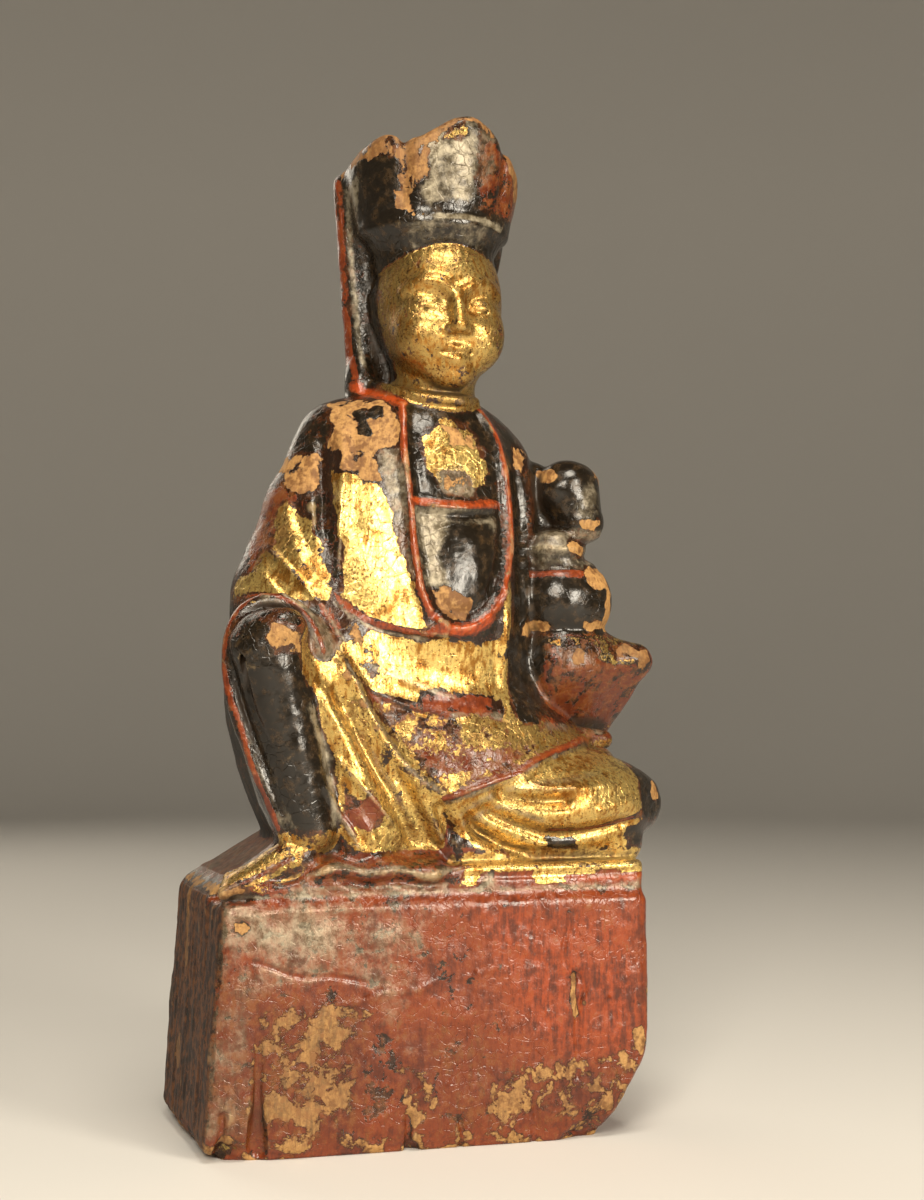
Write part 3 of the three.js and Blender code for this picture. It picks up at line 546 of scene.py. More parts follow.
def handwork(p, n):
    """How far tool marks, sunken gesso and wear move the surface, along its normal n."""
    y, z = p[1:]
    on_block = step(73, 69, z)
    calm = 1 - 0.65 * step(214, 218, z) * step(264, 262, z) * step(0, -8, y)
    broad = 0.22 * lumpy(p, 7.5, SEED) + 0.12 * lumpy(p, 2.6, SEED + 1)
    rough_side = 0.35 * lumpy(p, 1.9, SEED + 2, 9.0) * on_block * step(0.5, 0.8, np.abs(n[0]))
    ragged = 1.6 * np.maximum(lumpy(p, 4.2, SEED + 3) + 0.1, 0) * step(9, 2, z)
    return calm * broad + rough_side + 0.12 * on_block * lumpy(p, 12.0, SEED + 4) - ragged


# From the distances to a mesh


def sample(distance):
    """Distances on a fine grid, worked out only near the surface, which coarse points find first."""
    low = np.array(GRID_LOW, np.float32)
    coarse = CELL_SIZES[0]
    count = np.array([
        math.ceil((high - start) / GRID_STEP / coarse) * coarse for start, high in zip(GRID_LOW, GRID_HIGH)
    ])
    values = np.full(count, FAR, np.float32)
    cells = np.stack(np.meshgrid(*[np.arange(0, n, coarse) for n in count], indexing="ij"), -1).reshape(-1, 3)
    for size in CELL_SIZES:
        centre = low + (cells + (size - 1) / 2) * GRID_STEP
        d = distance([centre[:, i].astype(np.float32) for i in range(3)])
        if size == 1:
            values[tuple(cells.T)] = d
            break
        far = np.abs(d) > (size / 2 * CELL_SLACK + CELL_MARGIN) * GRID_STEP * CELL_DIAGONAL
        for i, j, k in np.ndindex(size, size, size):
            at = cells[far] + (i, j, k)
            values[tuple(at.T)] = d[far]
        half = size // 2
        offsets = np.array(list(np.ndindex(2, 2, 2))) * half
        cells = (cells[~far][:, None, :] + offsets[None]).reshape(-1, 3)
    return values


def skin(values):
    """Surface nets: a point in each cell that the surface crosses, and a square across each crossed edge."""
    inside = values < 0
    mixed = np.zeros(np.array(values.shape) - 1, bool)
    corner = inside[:-1, :-1, :-1]
    for i, j, k in list(np.ndindex(2, 2, 2))[1:]:
        part = inside[i:i + mixed.shape[0], j:j + mixed.shape[1], k:k + mixed.shape[2]]
        mixed |= part != corner
    cells = np.argwhere(mixed)
    number = np.full(mixed.shape, -1, np.int64)
    number[tuple(cells.T)] = np.arange(len(cells))
    total = np.zeros((len(cells), 3))
    hits = np.zeros(len(cells))
    corners = list(np.ndindex(2, 2, 2))
    for a in corners:
        for axis in range(3):
            if a[axis]:
                continue
            b = tuple(a[i] + (i == axis) for i in range(3))
            va = values[tuple((cells + a).T)].astype(float)
            vb = values[tuple((cells + b).T)].astype(float)
            crossed = (va < 0) != (vb < 0)
            t = np.where(crossed, va / np.where(crossed, va - vb, 1), 0)
            place = np.tile(np.array(a, float), (len(cells), 1))
            place[:, axis] += t
            total += place * crossed[:, None]
            hits += crossed
    points = (cells + total / hits[:, None]) * GRID_STEP + np.array(GRID_LOW)
    quads = []
    for axis in range(3):
        u, v = (axis + 1) % 3, (axis + 2) % 3
        first = np.take(inside, range(inside.shape[axis] - 1), axis)
        second = np.take(inside, range(1, inside.shape[axis]), axis)
        spots = np.argwhere(first != second)
        spots = spots[(spots[:, u] > 0) & (spots[:, v] > 0)]
        outward = inside[tuple(spots.T)]
        ring = []
        for du, dv in ((1, 1), (0, 1), (0, 0), (1, 0)):
            cell = spots.copy()
            cell[:, u] -= du
            cell[:, v] -= dv
            ring.append(number[tuple(cell.T)])
        ring = np.stack(ring, 1)
        ring[~outward] = ring[~outward][:, ::-1]
        quads.append(ring)
    return points, np.concatenate(quads)


def mesh_of(name, points, faces):
    mesh = bpy.data.meshes.new(name)
    mesh.vertices.add(len(points))
    mesh.vertices.foreach_set("co", (points * MM).astype(np.float32).ravel())
    mesh.loops.add(faces.size)
    mesh.loops.foreach_set("vertex_index", faces.astype(np.int32).ravel())
    mesh.polygons.add(len(faces))
    mesh.polygons.foreach_set("loop_start", np.arange(0, faces.size, faces.shape[1], dtype=np.int32))
    mesh.update(calc_edges=True)
    return mesh


def applied(piece):
    """Applies the piece's modifiers."""
    shown = piece.evaluated_get(bpy.context.evaluated_depsgraph_get())
    mesh = bpy.data.meshes.new_from_object(shown)
    piece.modifiers.clear()
    piece.data = mesh


def carve():
    points, faces = skin(sample(figure))
    rough = mesh_of("rough", points, faces)
    normals = np.empty(len(points) * 3, np.float32)
    rough.vertex_normals.foreach_get("vector", normals)
    normals = normals.reshape(-1, 3)
    free = step(0, 1.5, points[:, 2])[:, None]
    points = points + normals * handwork(points.T, normals.T)[:, None] * free
    points = np.clip(points, np.array(cad_box[0]) / MM, np.array(cad_box[1]) / MM)
    bpy.data.meshes.remove(rough)
    piece = bpy.data.objects.new("carved_statuette", mesh_of("carved_statuette", points, faces))
    bpy.context.collection.objects.link(piece)
    thinner = piece.modifiers.new("thinner", "DECIMATE")
    thinner.ratio = TRIANGLES / (2 * len(faces))
    applied(piece)
    places = np.empty(len(piece.data.vertices) * 3, np.float32)
    piece.data.vertices.foreach_get("co", places)
    places = np.clip(places.reshape(-1, 3), *cad_box)
    piece.data.vertices.foreach_set("co", np.ascontiguousarray(places, np.float32).ravel())
    piece.data.update()
    piece.data.shade_smooth()
    return piece


figure_piece = carve()
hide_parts("carved_figure")
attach(figure_piece, "root")


# Where each layer of paint lies


def line(points, width, soft=0.5):
    """A painted line through [x, z] points, as seen from the front."""
    way = smooth_way(points, len(points) * 3)

    def mask(p):
        nearest = least(*[limb([p[0], p[2]], a, b, 0, 0) for a, b in zip(way, way[1:])])
        return step(width + soft, width - soft, nearest)

    mask.fine = True
    return mask


def outline(corners, soft=1.2):
    """The inside of a closed outline of [x, z] corners, as seen from the front."""
    def mask(p):
        x, _, z = p
        nearest = np.full_like(x, np.inf)
        inside = np.zeros(x.shape, bool)
        for (ax, az), (bx, bz) in zip(corners, corners[1:] + corners[:1]):
            nearest = np.minimum(nearest, limb([x, z], [ax, az], [bx, bz], 0, 0))
            if az != bz:
                crosses = (az > z) != (bz > z)
                inside ^= crosses & (x < (bx - ax) * (z - az) / (bz - az) + ax)
        return step(-soft, soft, np.where(inside, nearest, -nearest))
    return mask


def spot(centre, radii, soft=0.35):
    """An oval of [x, z] or, with three numbers, an egg in space."""
    def mask(p):
        axes = p if len(centre) == 3 else [p[0], p[2]]
        reach = np.sqrt(sum(((axis - c) / r) ** 2 for axis, c, r in zip(axes, centre, radii)))
        return step(1 + soft, 1 - soft, reach)
    return mask


U_BORDER = [
    [-3, 214], [-4.4, 199], [-3.6, 184.6], [-3.2, 170], [-1.8, 158], [1.4, 150.4], [8, 146.6], [18, 150],
    [23.5, 156], [26.5, 165], [28.9, 177], [28.4, 189], [27, 201], [24.5, 210], [21, 215],
]
LAPEL = [[-26, 156], [-20, 150.7], [-11.3, 147.3], [0, 145.3], [4, 147]]
LEG_BORDER = [[4, 98], [14.7, 101.7], [25.5, 105.3], [34.4, 109.6], [45, 112.5], [54.4, 114.3], [63, 110]]
RIM_LINE = [
    [-31, 140], [-34, 148], [-40, 154], [-47, 156.5], [-54, 152], [-58, 143], [-57.5, 130], [-54, 120],
    [-51, 108], [-46, 96], [-43, 88],
]


class Canvas:
    """The paint of the carving: how far each layer covers every point, from 0 to 1."""

    names = ("red", "black", "gold", "tan", "grey")

    def __init__(self, piece):
        mesh = piece.data
        self.mesh = mesh
        count = len(mesh.vertices)
        points = np.empty(count * 3, np.float32)
        mesh.vertices.foreach_get("co", points)
        normals = np.empty(count * 3, np.float32)
        mesh.vertex_normals.foreach_get("vector", normals)
        self.p = list((points.reshape(-1, 3) / MM).T)
        self.n = list(normals.reshape(-1, 3).T)
        self.front = step(0.35, 0.0, self.n[1])
        self.wavy = [
            axis + 1.5 * lumpy(self.p, 5.0, SEED + 10 + i) + 0.7 * lumpy(self.p, 1.7, SEED + 20 + i)
            for i, axis in enumerate(self.p)
        ]
        self.layers = {name: np.zeros(count, np.float32) for name in self.names}
        self.stain_and_shade = np.full(count, 0.3, np.float32)

    def on(self, form, width):
        """1 on the skin of a form, falling to 0 at width from it."""
        return step(width, width / 3, np.abs(form(self.p)))

    def lay(self, name, amount, mask, over=""):
        """Lays paint on the front."""
        self.coat(name, amount, self.cover(mask) * self.front, over)

    def patch(self, name, amount, *shape, over=""):
        self.lay(name, amount, outline(*shape), over)

    def stripe(self, name, amount, *shape, over=""):
        self.lay(name, amount, line(*shape), over)

    def dab(self, name, amount, *shape, over=""):
        self.lay(name, amount, spot(*shape), over)

    def coat(self, name, amount, mask, over=""):
        """Lays paint all round, over whatever is under the mask except the layers named in over."""
        cover = self.cover(mask)
        for other, layer in self.layers.items():
            if other == name:
                layer += (amount - layer) * cover
            elif other not in over.split():
                layer *= 1 - cover

    def cover(self, mask):
        """The mask's values; all masks but painted lines have wavy edges."""
        if not callable(mask):
            return mask
        return mask(self.p if getattr(mask, "fine", False) else self.wavy)

    def brown_and_shade(self, amount, mask):
        """Old varnish that browns the paint, also laid as painted shade on shaded sides and in grooves."""
        cover = self.cover(mask)
        self.stain_and_shade += (amount - self.stain_and_shade) * cover

    def convexity(self, reach):
        """How far the surface falls away within reach, along four directions across it."""
        n = np.stack(self.n)
        steep = np.abs(n[2]) < 0.9
        side = np.cross(n.T, np.where(steep[:, None], [0, 0, 1], [1, 0, 0])).T
        side /= np.maximum(np.linalg.norm(side, axis=0), TINY)
        other = np.cross(n.T, side.T).T
        total = 0
        for way in (side, -side, other, -other):
            total = total + figure([(axis + reach * w).astype(np.float32) for axis, w in zip(self.p, way)])
        return total / (4 * reach)

    def openness(self, reach):
        """1 in the open, falling to 0 deep in a groove."""
        out = figure([(axis + reach * n).astype(np.float32) for axis, n in zip(self.p, self.n)])
        return np.clip(out / reach, 0, 1)

    def store(self, name, values):
        layer = self.mesh.attributes.new(name, "FLOAT", "POINT")
        layer.data.foreach_set("value", np.ascontiguousarray(values, np.float32))


def paint_block(c):
    y, z = c.p[1:]
    on_block = step(72, 70, z)
    c.coat("red", 0.66, on_block)

    front_face = on_block * step(-0.3, -0.6, c.n[1])

    def within(corners, soft):
        return front_face * outline(corners, soft)(c.wavy)

    # The left face is painted dark brown: brown lacquer and stain, darkened further as painted shade on the
    # side turned away from the light.
    left_face = on_block * step(-0.5, -0.8, c.n[0])
    c.coat("red", 0.4, left_face)
    c.brown_and_shade(1, left_face)
    c.coat("black", 0.4, left_face, over="red")
    behind = on_block * step(0.3, 0.7, c.n[1])
    c.coat("black", 0.3, behind, over="red")
    c.brown_and_shade(0.8, behind)
    c.lay("red", 0.84, within([[8, 70], [65, 70], [65, 20], [44, 18], [20, 34]], 10))
    # Silver-grey over the upper left of the front face is a painted sheen of glancing light.
    c.lay("grey", 0.36, within([
        [-64, 70], [4, 70], [-6, 44], [-4, 26], [-14, 24], [-22, 44], [-50, 42], [-63, 40],
    ], 8), over="red")
    c.lay("grey", 0.62, within([[-60, 70], [-24, 70], [-30, 56], [-44, 58], [-60, 60]], 5), over="red")
    c.lay("grey", 0.42, within([[-65, 44], [-54, 46], [-51, 6], [-65, 4]], 3), over="red")
    c.lay("gold", 0.34, within([[-52, 44], [-16, 42], [-20, 8], [-52, 6]], 5), over="red grey")
    c.brown_and_shade(0.72, within([[-66, 60], [-48, 46], [-46, 8], [-66, 4]], 6))
    c.lay("tan", 0.57, within([
        [-50, 43], [-30, 43], [-16, 41], [-20, 30], [-24, 12], [-36, 8], [-52, 10],
    ], 5), over="red")
    c.brown_and_shade(0.78, within([[-54, 46], [-16, 43], [-20, 6], [-56, 4]], 6))
    c.brown_and_shade(0.62, within([[-12, 34], [10, 34], [30, 18], [60, 22], [60, 4], [-14, 4]], 6))
    c.lay("red", 0.55, within([[-24, 32], [-11, 34], [-9, 12], [-20, 10]], 2))
    c.lay("tan", 0.5, within([[12, 20], [36, 24], [62, 26], [60, 8], [20, 3]], 4), over="red")
    c.lay("tan", 0.5, within([[-12, 24], [-4, 26], [2, 12], [-8, 6]], 2), over="red")
    c.coat("tan", 0.45, step(9, 3, z) * on_block, over="red")
    for place, size in (([-56, 64], [2.2, 1.8]), ([-58.5, 4.5], [2, 3]), ([62.5, 27], [1.8, 3.4])):
        c.dab("tan", 1, place, size)
    c.stripe("tan", 0.95, [[42, 47], [41.5, 42], [42.5, 36]], 0.9)
    side = left_face * step(4, 2, np.abs(y - 12)) * step(41, 43, z)
    c.coat("tan", 0.62, side)
    c.coat("tan", 0.7, left_face * spot([-63, 14, 22], [4, 5, 6])(c.p))


def paint_robes(c):
    c.dab("black", 0.55, [-29, 205], [9, 9])
    c.patch("tan", 0.8, [[-22, 215], [-6, 216], [-5, 205], [-6, 195], [-13, 190], [-21, 192], [-24, 202]])
    for place in ([-15, 210], [-10, 211], [-14, 205.5]):
        c.dab("black", 0.9, place, [2.3, 2.3], 0.2)
    c.patch("tan", 0.7, [[-35, 199], [-25, 199], [-25, 191], [-32, 186], [-38, 188]])
    c.patch("red", 0.58, [[-43, 190], [-36, 188], [-37, 171], [-48, 164], [-46, 176]])
    c.brown_and_shade(0.9, outline([[-44, 192], [-34, 190], [-36, 168], [-50, 162]], 3))
    c.patch("gold", 0.42, [[-41, 186], [-33, 186], [-34, 176], [-43, 174]], 2, over="red")
    c.patch("gold", 0.72, [
        [-38, 184], [-30, 179], [-28, 166], [-27, 155], [-36, 153], [-54, 153], [-49, 162], [-41, 172],
    ])
    c.patch("gold", 0.95, [
        [-24, 193], [-13, 190], [-9, 184], [-6, 166], [0, 147], [-8, 146], [-18, 150], [-25, 154],
        [-23, 166], [-24, 178],
    ])
    c.patch("grey", 0.48, [[-12, 200], [-5, 200], [-4, 160], [-7, 166], [-10, 184]], 0.8, over="black")
    c.patch("black", 0.66, [[-3, 215], [20, 216], [26, 203], [24, 186], [-3, 185]])
    c.patch("gold", 0.8, [[1, 204], [8, 209], [18, 207], [21, 199], [19, 189], [8, 187], [1, 193]])
    c.patch("tan", 0.6, [[7, 207], [17, 206], [18, 200], [9, 201]], over="gold")
    c.patch("red", 0.6, [[7, 202], [12, 201], [15, 198], [8, 197]], 2, over="gold")
    c.patch("grey", 0.6, [[4, 194], [12, 196], [18, 191], [16, 186], [6, 187]], over="gold")
    c.patch("tan", 0.5, [[6, 193], [13, 194], [17, 190], [8, 188]], over="grey")
    c.patch("black", 0.95, [[-3, 183], [24, 183], [24, 164], [14, 151], [1, 156]])
    c.patch("grey", 0.34, [[8, 183], [24, 183], [24, 176], [10, 176]], 2, over="black")
    # Silver-grey on the left of the black belly panel is a painted highlight.
    c.patch("grey", 0.8, [[-3, 183], [8, 183], [5, 168], [7, 158], [0, 158]], 3, over="black")
    c.patch("tan", 0.7, [[0, 158], [8, 158], [14, 154], [15, 150], [5, 148]])
    c.patch("gold", 0.80, [[-26, 143], [-12, 146], [1, 144], [24, 143], [24, 126], [1, 124], [-18, 130]])
    c.patch("gold", 0.60, [[-8, 136], [4, 134], [16, 134], [14, 128], [0, 128]], 3)
    c.patch("gold", 0.5, [[-24, 143], [-15, 142], [-13, 134], [-19, 132]], 2)
    c.patch("tan", 0.55, [[-26, 151], [-18, 147], [-16, 142], [-25, 141]], 2, over="gold")
    c.patch("red", 0.7, [[-2, 128], [21, 127.5], [20, 122], [-2, 122]], 1.5)
    lap_top = outline([
        [-24, 131], [1, 122], [29, 122], [62, 116], [70, 110], [41, 108], [20, 102], [5, 96], [-8, 97],
    ], 2)
    c.lay("red", 0.6, lap_top)
    c.lay("gold", 0.5, lap_top, over="red")
    c.brown_and_shade(0.75, lap_top)
    c.patch("gold", 0.34, [[-6, 112], [12, 113], [30, 108], [12, 102], [0, 106]], 3, over="red")
    c.patch("gold", 0.62, [[6, 121], [30, 121], [62, 115], [58, 112], [34, 113], [14, 113]], 2, over="red")
    c.patch("gold", 0.58, [[-12, 112], [-2, 106], [10, 103], [6, 98], [-8, 99]], 2, over="red")
    c.stripe("grey", 0.5, [[8, 121.5], [18, 121.5], [27, 121]], 1.2, over="red gold")
    between = outline([
        [-40, 146], [-30, 150], [-21, 133], [-10, 116], [6, 99], [4, 80], [-24, 79], [-27, 95], [-29, 108],
        [-35, 128],
    ], 1.5)
    c.lay("red", 0.5, between)
    c.lay("gold", 0.66, between, over="red")
    c.brown_and_shade(0.55, between)
    c.patch("gold", 0.88, [
        [-40, 144], [-27, 141], [-20, 122], [-14, 104], [-22, 98], [-28, 110], [-33, 125],
    ])
    c.patch("gold", 0.82, [[-18, 92], [-9, 90], [-8, 81], [-17, 81]], 1.5)
    c.dab("red", 0.72, [-20.5, 94], [4.6, 4.6], 0.5)
    c.dab("red", 0.6, [-6, 93], [3.5, 6], 0.5, over="gold")
    c.patch("tan", 0.52, [[-32, 146], [-25, 143], [-14, 118], [-19, 116]], 1.5, over="gold")
    # Grey lines along the ridges of the cloth between the legs are painted highlights.
    for way in (
        [[-26, 141], [-18, 125], [-11.4, 114.5], [-6, 106], [4.8, 98.7]],
        [[-33, 104], [-27, 94], [-21, 85]],
        [[-30, 153], [-25, 144], [-14, 135], [-1, 130], [8, 127]],
        [[-22, 121], [-14, 106], [-6, 92]],
    ):
        c.stripe("grey", 0.62, way, 0.8, 0.9, over="gold red")
    c.stripe("gold", 0.75, [[25.7, 160], [25.3, 142], [25.2, 121]], 1.6)
    c.stripe("black", 0.7, [[32, 205], [33.5, 180], [33, 156], [31, 122]], 3)
    c.dab("tan", 0.75, [34.5, 199], [1.8, 5])
    c.stripe("red", 0.88, U_BORDER, 0.9)
    c.stripe("red", 0.95, [[4, 146.6], [12, 146.2], [19, 149.5]], 1.6)
    c.stripe("red", 0.9, [[-2, 184], [9, 183], [24, 184]], 1.3)
    c.stripe("red", 0.84, LAPEL, 0.8)
    c.stripe("grey", 0.8, [[-26, 153.8], [-20, 148.7], [-11.3, 145.4], [0, 143.4]], 0.6, over="red")


def paint_legs(c):
    x, y, z = c.p
    leg = c.on(raised_leg, 2)
    c.coat("black", 0.97, outline([
        [-58, 140], [-52, 148], [-42, 144], [-37, 133], [-32, 118], [-28, 103], [-27, 85], [-40, 86],
        [-47, 98], [-54, 120],
    ]))
    c.patch("tan", 0.62, [[-50, 143], [-46, 148], [-39, 146], [-39, 140], [-46, 138]])
    # A grey line down the right edge of the black shin is a painted highlight.
    c.stripe("grey", 0.7, [[-35.5, 124], [-31, 112], [-28.5, 100], [-28, 91]], 1.3, 1.2, over="black")
    # Grey along the knee's rim is grey paint, with a painted highlight along it.
    rim = step(3.2, 1.6, np.abs(KNEE_RIM(c.p)))
    c.coat("grey", 0.6, rim * step(-60, -30, x), over="black")
    c.coat("red", 0.82, line(RIM_LINE, 0.65))
    # The robe's left side is painted dark red-brown: dark lacquer, darkened further as painted shade on the
    # side turned away from the light.
    side = step(-30, -36, x) * step(-16, -11, y) * step(160, 150, z) * step(74, 76, z)
    c.coat("black", 0.62, side)
    c.coat("red", 0.56, side * step(130, 100, z), over="black")
    c.brown_and_shade(1, side)
    c.brown_and_shade(1, step(-50, -54, x) * step(-26, -20, y) * step(84, 88, z) * step(158, 150, z))
    foot = leg * step(92, 87, z)
    c.coat("gold", 0.66, foot)
    c.brown_and_shade(0.8, foot)
    for toe in ([[-41, 82], [-50, 77.5], [-60, 73.5]], [[-38, 79], [-46, 76], [-56, 73]]):
        c.stripe("red", 0.72, toe, 0.5, 0.6)
    forward = step(6, -2, c.wavy[1])
    folded = outline([
        [5, 97], [20, 103.5], [41, 110], [62, 110], [70, 102], [68, 90], [60, 81], [43, 79], [17, 82],
        [7, 89],
    ])
    c.coat("gold", 0.88, forward * folded(c.wavy))
    c.brown_and_shade(0.48, forward * folded(c.wavy))
    # Along the folded leg's folds, painted shade browns the grooves, and grey lines along the ridges are
    # painted highlights.
    for way in ([[17, 100], [28.5, 97.2], [43, 97.5]], [[12, 97.5], [19.5, 93], [33, 88], [47, 88], [66, 92]],
                [[10, 95], [15, 88.5], [23, 84], [33, 81]]):
        c.brown_and_shade(0.78, line(way, 1.4, 1.2))
    for way in ([[9, 93], [13, 96.5], [22, 100.4], [36, 102.6], [52, 104.6]],
                [[11, 91], [20, 95.2], [32, 91.6]]):
        c.stripe("grey", 0.5, way, 1, 1, over="gold")
    c.coat("black", 0.75, forward * outline([[65, 106], [76, 101], [77, 92], [66, 92]])(c.wavy))
    c.coat("tan", 0.95, spot([73.5, 99.5], [2.2, 3]))
    c.patch("black", 0.75, [[35, 87], [44, 87], [46, 82], [36, 82]], 0.6)
    c.patch("black", 0.6, [[61, 89], [68, 88], [66, 79], [62, 78]], 0.6)
    c.patch("grey", 0.6, [[22, 83], [40, 81.5], [40, 79], [22, 79.5]], 0.6, over="gold")
    c.stripe("red", 0.86, LEG_BORDER, 0.8)
    c.stripe("grey", 0.6, [[x, z - 1.6] for x, z in LEG_BORDER], 0.7, over="gold")
    c.stripe("red", 0.8, [[36, 88.5], [46, 88.6], [56, 90], [66, 92.6]], 0.5)


def paint_hem(c):
    x, y, z = c.p
    hem = step(84, 81, z) * step(71, 73, z) * c.front * (1 - c.on(raised_leg, 1.5) * step(-34, -38, x))
    c.lay("red", 0.6, hem)
    c.lay("gold", 0.5, hem, over="red")
    ripples = hem * step(12, 2, x) * step(-46, -40, x)
    c.lay("red", 0.62, ripples)
    c.lay("black", 0.4, ripples, over="red")
    c.brown_and_shade(0.7, ripples)
    # Grey lines along the ripples' crests are painted highlights.
    for way in ([[-36, 77.4], [-27, 80], [-19, 77.8], [-11, 79], [-3, 76.8], [6, 78.2]],
                [[-40, 73.4], [-24, 73.8], [-10, 73.6], [4, 73.8]]):
        c.stripe("grey", 0.72, way, 0.7, 0.9, over="red black")
    for start, end, name, amount in ((6, 14, "gold", 0.55), (14, 19, "grey", 0.7), (19, 31, "red", 0.8),
                                     (30, 66, "gold", 0.74), (50, 57, "red", 0.6)):
        part = hem * step(start - 2, start + 2, x) * step(end + 2, end - 2, x) * step(72.6, 73.6, z)
        c.lay(name, amount, part, over="red")
    c.lay("gold", 0.72, hem * step(8, 14, x) * step(76.5, 77.5, z), over="red")
    c.stripe("red", 0.9, [[40, 74.6], [52, 74.4], [64, 74.6]], 1.1)
    slope = step(0.4, 0.6, c.n[2]) * step(70, 72, z) * step(100, 95, z) * step(-21, -17, y)
    c.coat("red", 0.6, slope * step(-34, -40, x))
    c.coat("grey", 0.45, slope * step(-34, -40, x), over="red")
    c.dab("tan", 0.6, [-56, 71], [8, 3], over="grey")
    c.stripe("grey", 0.62, [[-56, 71], [0, 71.2], [62, 71.8]], 1.5, over="red")


def paint_head(c):
    x, y, z = c.p
    flesh = c.on(head, 1.6) * step(206, 214, z)
    c.coat("gold", 0.9, flesh * step(222, 217, z))
    face_front = flesh * step(2, -6, y)
    c.coat("gold", 0.80, face_front)
    c.brown_and_shade(0.6, face_front)
    # The face browns in random blotches. Its rim and its left side are also darkened as painted shade, where
    # the face turns from the light.
    blotches = step(-0.2, 0.6, lumpy(c.p, 4.0, SEED + 30, 1.8))
    shaded_rim = most(step(6, 15, np.abs(x - HEAD_X)), step(BROW_Z + 4, HAIRLINE_Z, z), step(MOUTH_Z, CHIN_Z, z))
    browned_and_shaded = face_front * np.maximum(blotches * 0.8, shaded_rim * 0.9)
    c.brown_and_shade(0.84, browned_and_shaded)
    c.coat("gold", 0.66, browned_and_shaded)
    c.brown_and_shade(0.84, face_front * step(HEAD_X - 7, HEAD_X - 15, x))
    c.coat("black", 0.85, flesh * step(-6, 2, y) * step(216, 222, z))
    hat = c.on(crown, 1.6) * step(-0.5, 0.5, z - HAIRLINE_Z + 0.022 * (x - CROWN_X) ** 2)
    c.coat("black", 0.82, hat)
    c.lay("grey", 0.36, hat * step(LEDGE_Z, LEDGE_Z - 2, z) * step(16, 10, np.abs(x - CROWN_X)), over="black")
    cap = step(LEDGE_Z + 2, LEDGE_Z + 5, z)

    def outside(corners, soft=1.2):
        return step(2, -4, y) * outline(corners, soft)(c.wavy)

    c.lay("grey", 0.64, outside([
        [1, 290], [7, 300], [20, 300], [19, 276], [4, 272], [0, 280],
    ]), over="black")
    right_leaf = hat * cap * step(14, 22, c.wavy[0])
    c.coat("red", 0.56, right_leaf)
    c.coat("red", 0.72, right_leaf * step(24, 30, c.wavy[0]))
    c.coat("black", 0.42, right_leaf, over="red")
    c.lay("grey", 0.45, outside([[18, 298], [24, 298], [24, 280], [19, 278]], 2), over="red")
    c.lay("tan", 0.62, outside([[22, 302], [34, 292], [38, 278], [33, 276], [30, 288]], 1.5), over="red")
    c.brown_and_shade(0.85, hat * cap * step(14, 22, x))
    c.brown_and_shade(0.65, hat * cap * step(14, 6, x))
    c.lay("tan", 0.64, outside([[-17, 292], [-9, 296], [-1, 290], [-3, 284], [-9, 288], [-16, 287]], 0.8))
    c.lay("tan", 0.66, outside([[-7, 287], [2, 289], [3, 280], [-3, 278]], 0.8))
    c.lay("tan", 0.9, outside([[-5.5, 277], [-1, 277.5], [-1.5, 270.5], [-4.5, 271]], 0.5))
    c.lay("gold", 0.7, outside([[7, 299], [13, 300], [13, 291], [7, 291]], 0.6))
    c.coat("tan", 0.5, hat * step(5, 2, crown_rim(x, y) - z), over="grey black")
    c.brown_and_shade(0.8, hat * step(9, 4, crown_rim(x, y) - z))
    c.coat("tan", 0.45, hat * step(-2, 4, y) * step(275, 280, z), over="black")
    # A grey line along the crown's ledge is a painted highlight.
    c.stripe("grey", 0.7, [[5, 269], [16, 269.4], [27, 268]], 1, over="black")
    cloth = c.on(veil, 1.5) * step(214, 218, z) * step(284, 282, z) * step(2, 6, y)
    c.coat("black", 0.6, cloth, over="red")
    c.coat("red", 0.5, cloth * step(-6, -10, x), over="black")
    c.coat("red", 0.66, line([[-17.8, 284], [-15.4, 254], [-13, 224]], 0.7))
    # A grey line down the veil's rounded rim is a painted highlight.
    c.stripe("grey", 0.62, [[-15.4, 282], [-13, 254], [-10.4, 228]], 0.9, 0.9, over="red black")
    c.stripe("gold", 0.9, [[-4, 222], [2, 218.6], [9, 216.5], [15, 216.5]], 1.1)
    c.stripe("red", 0.95, [[-13, 221], [-7.7, 217.6], [-2.6, 214.5]], 1.6)


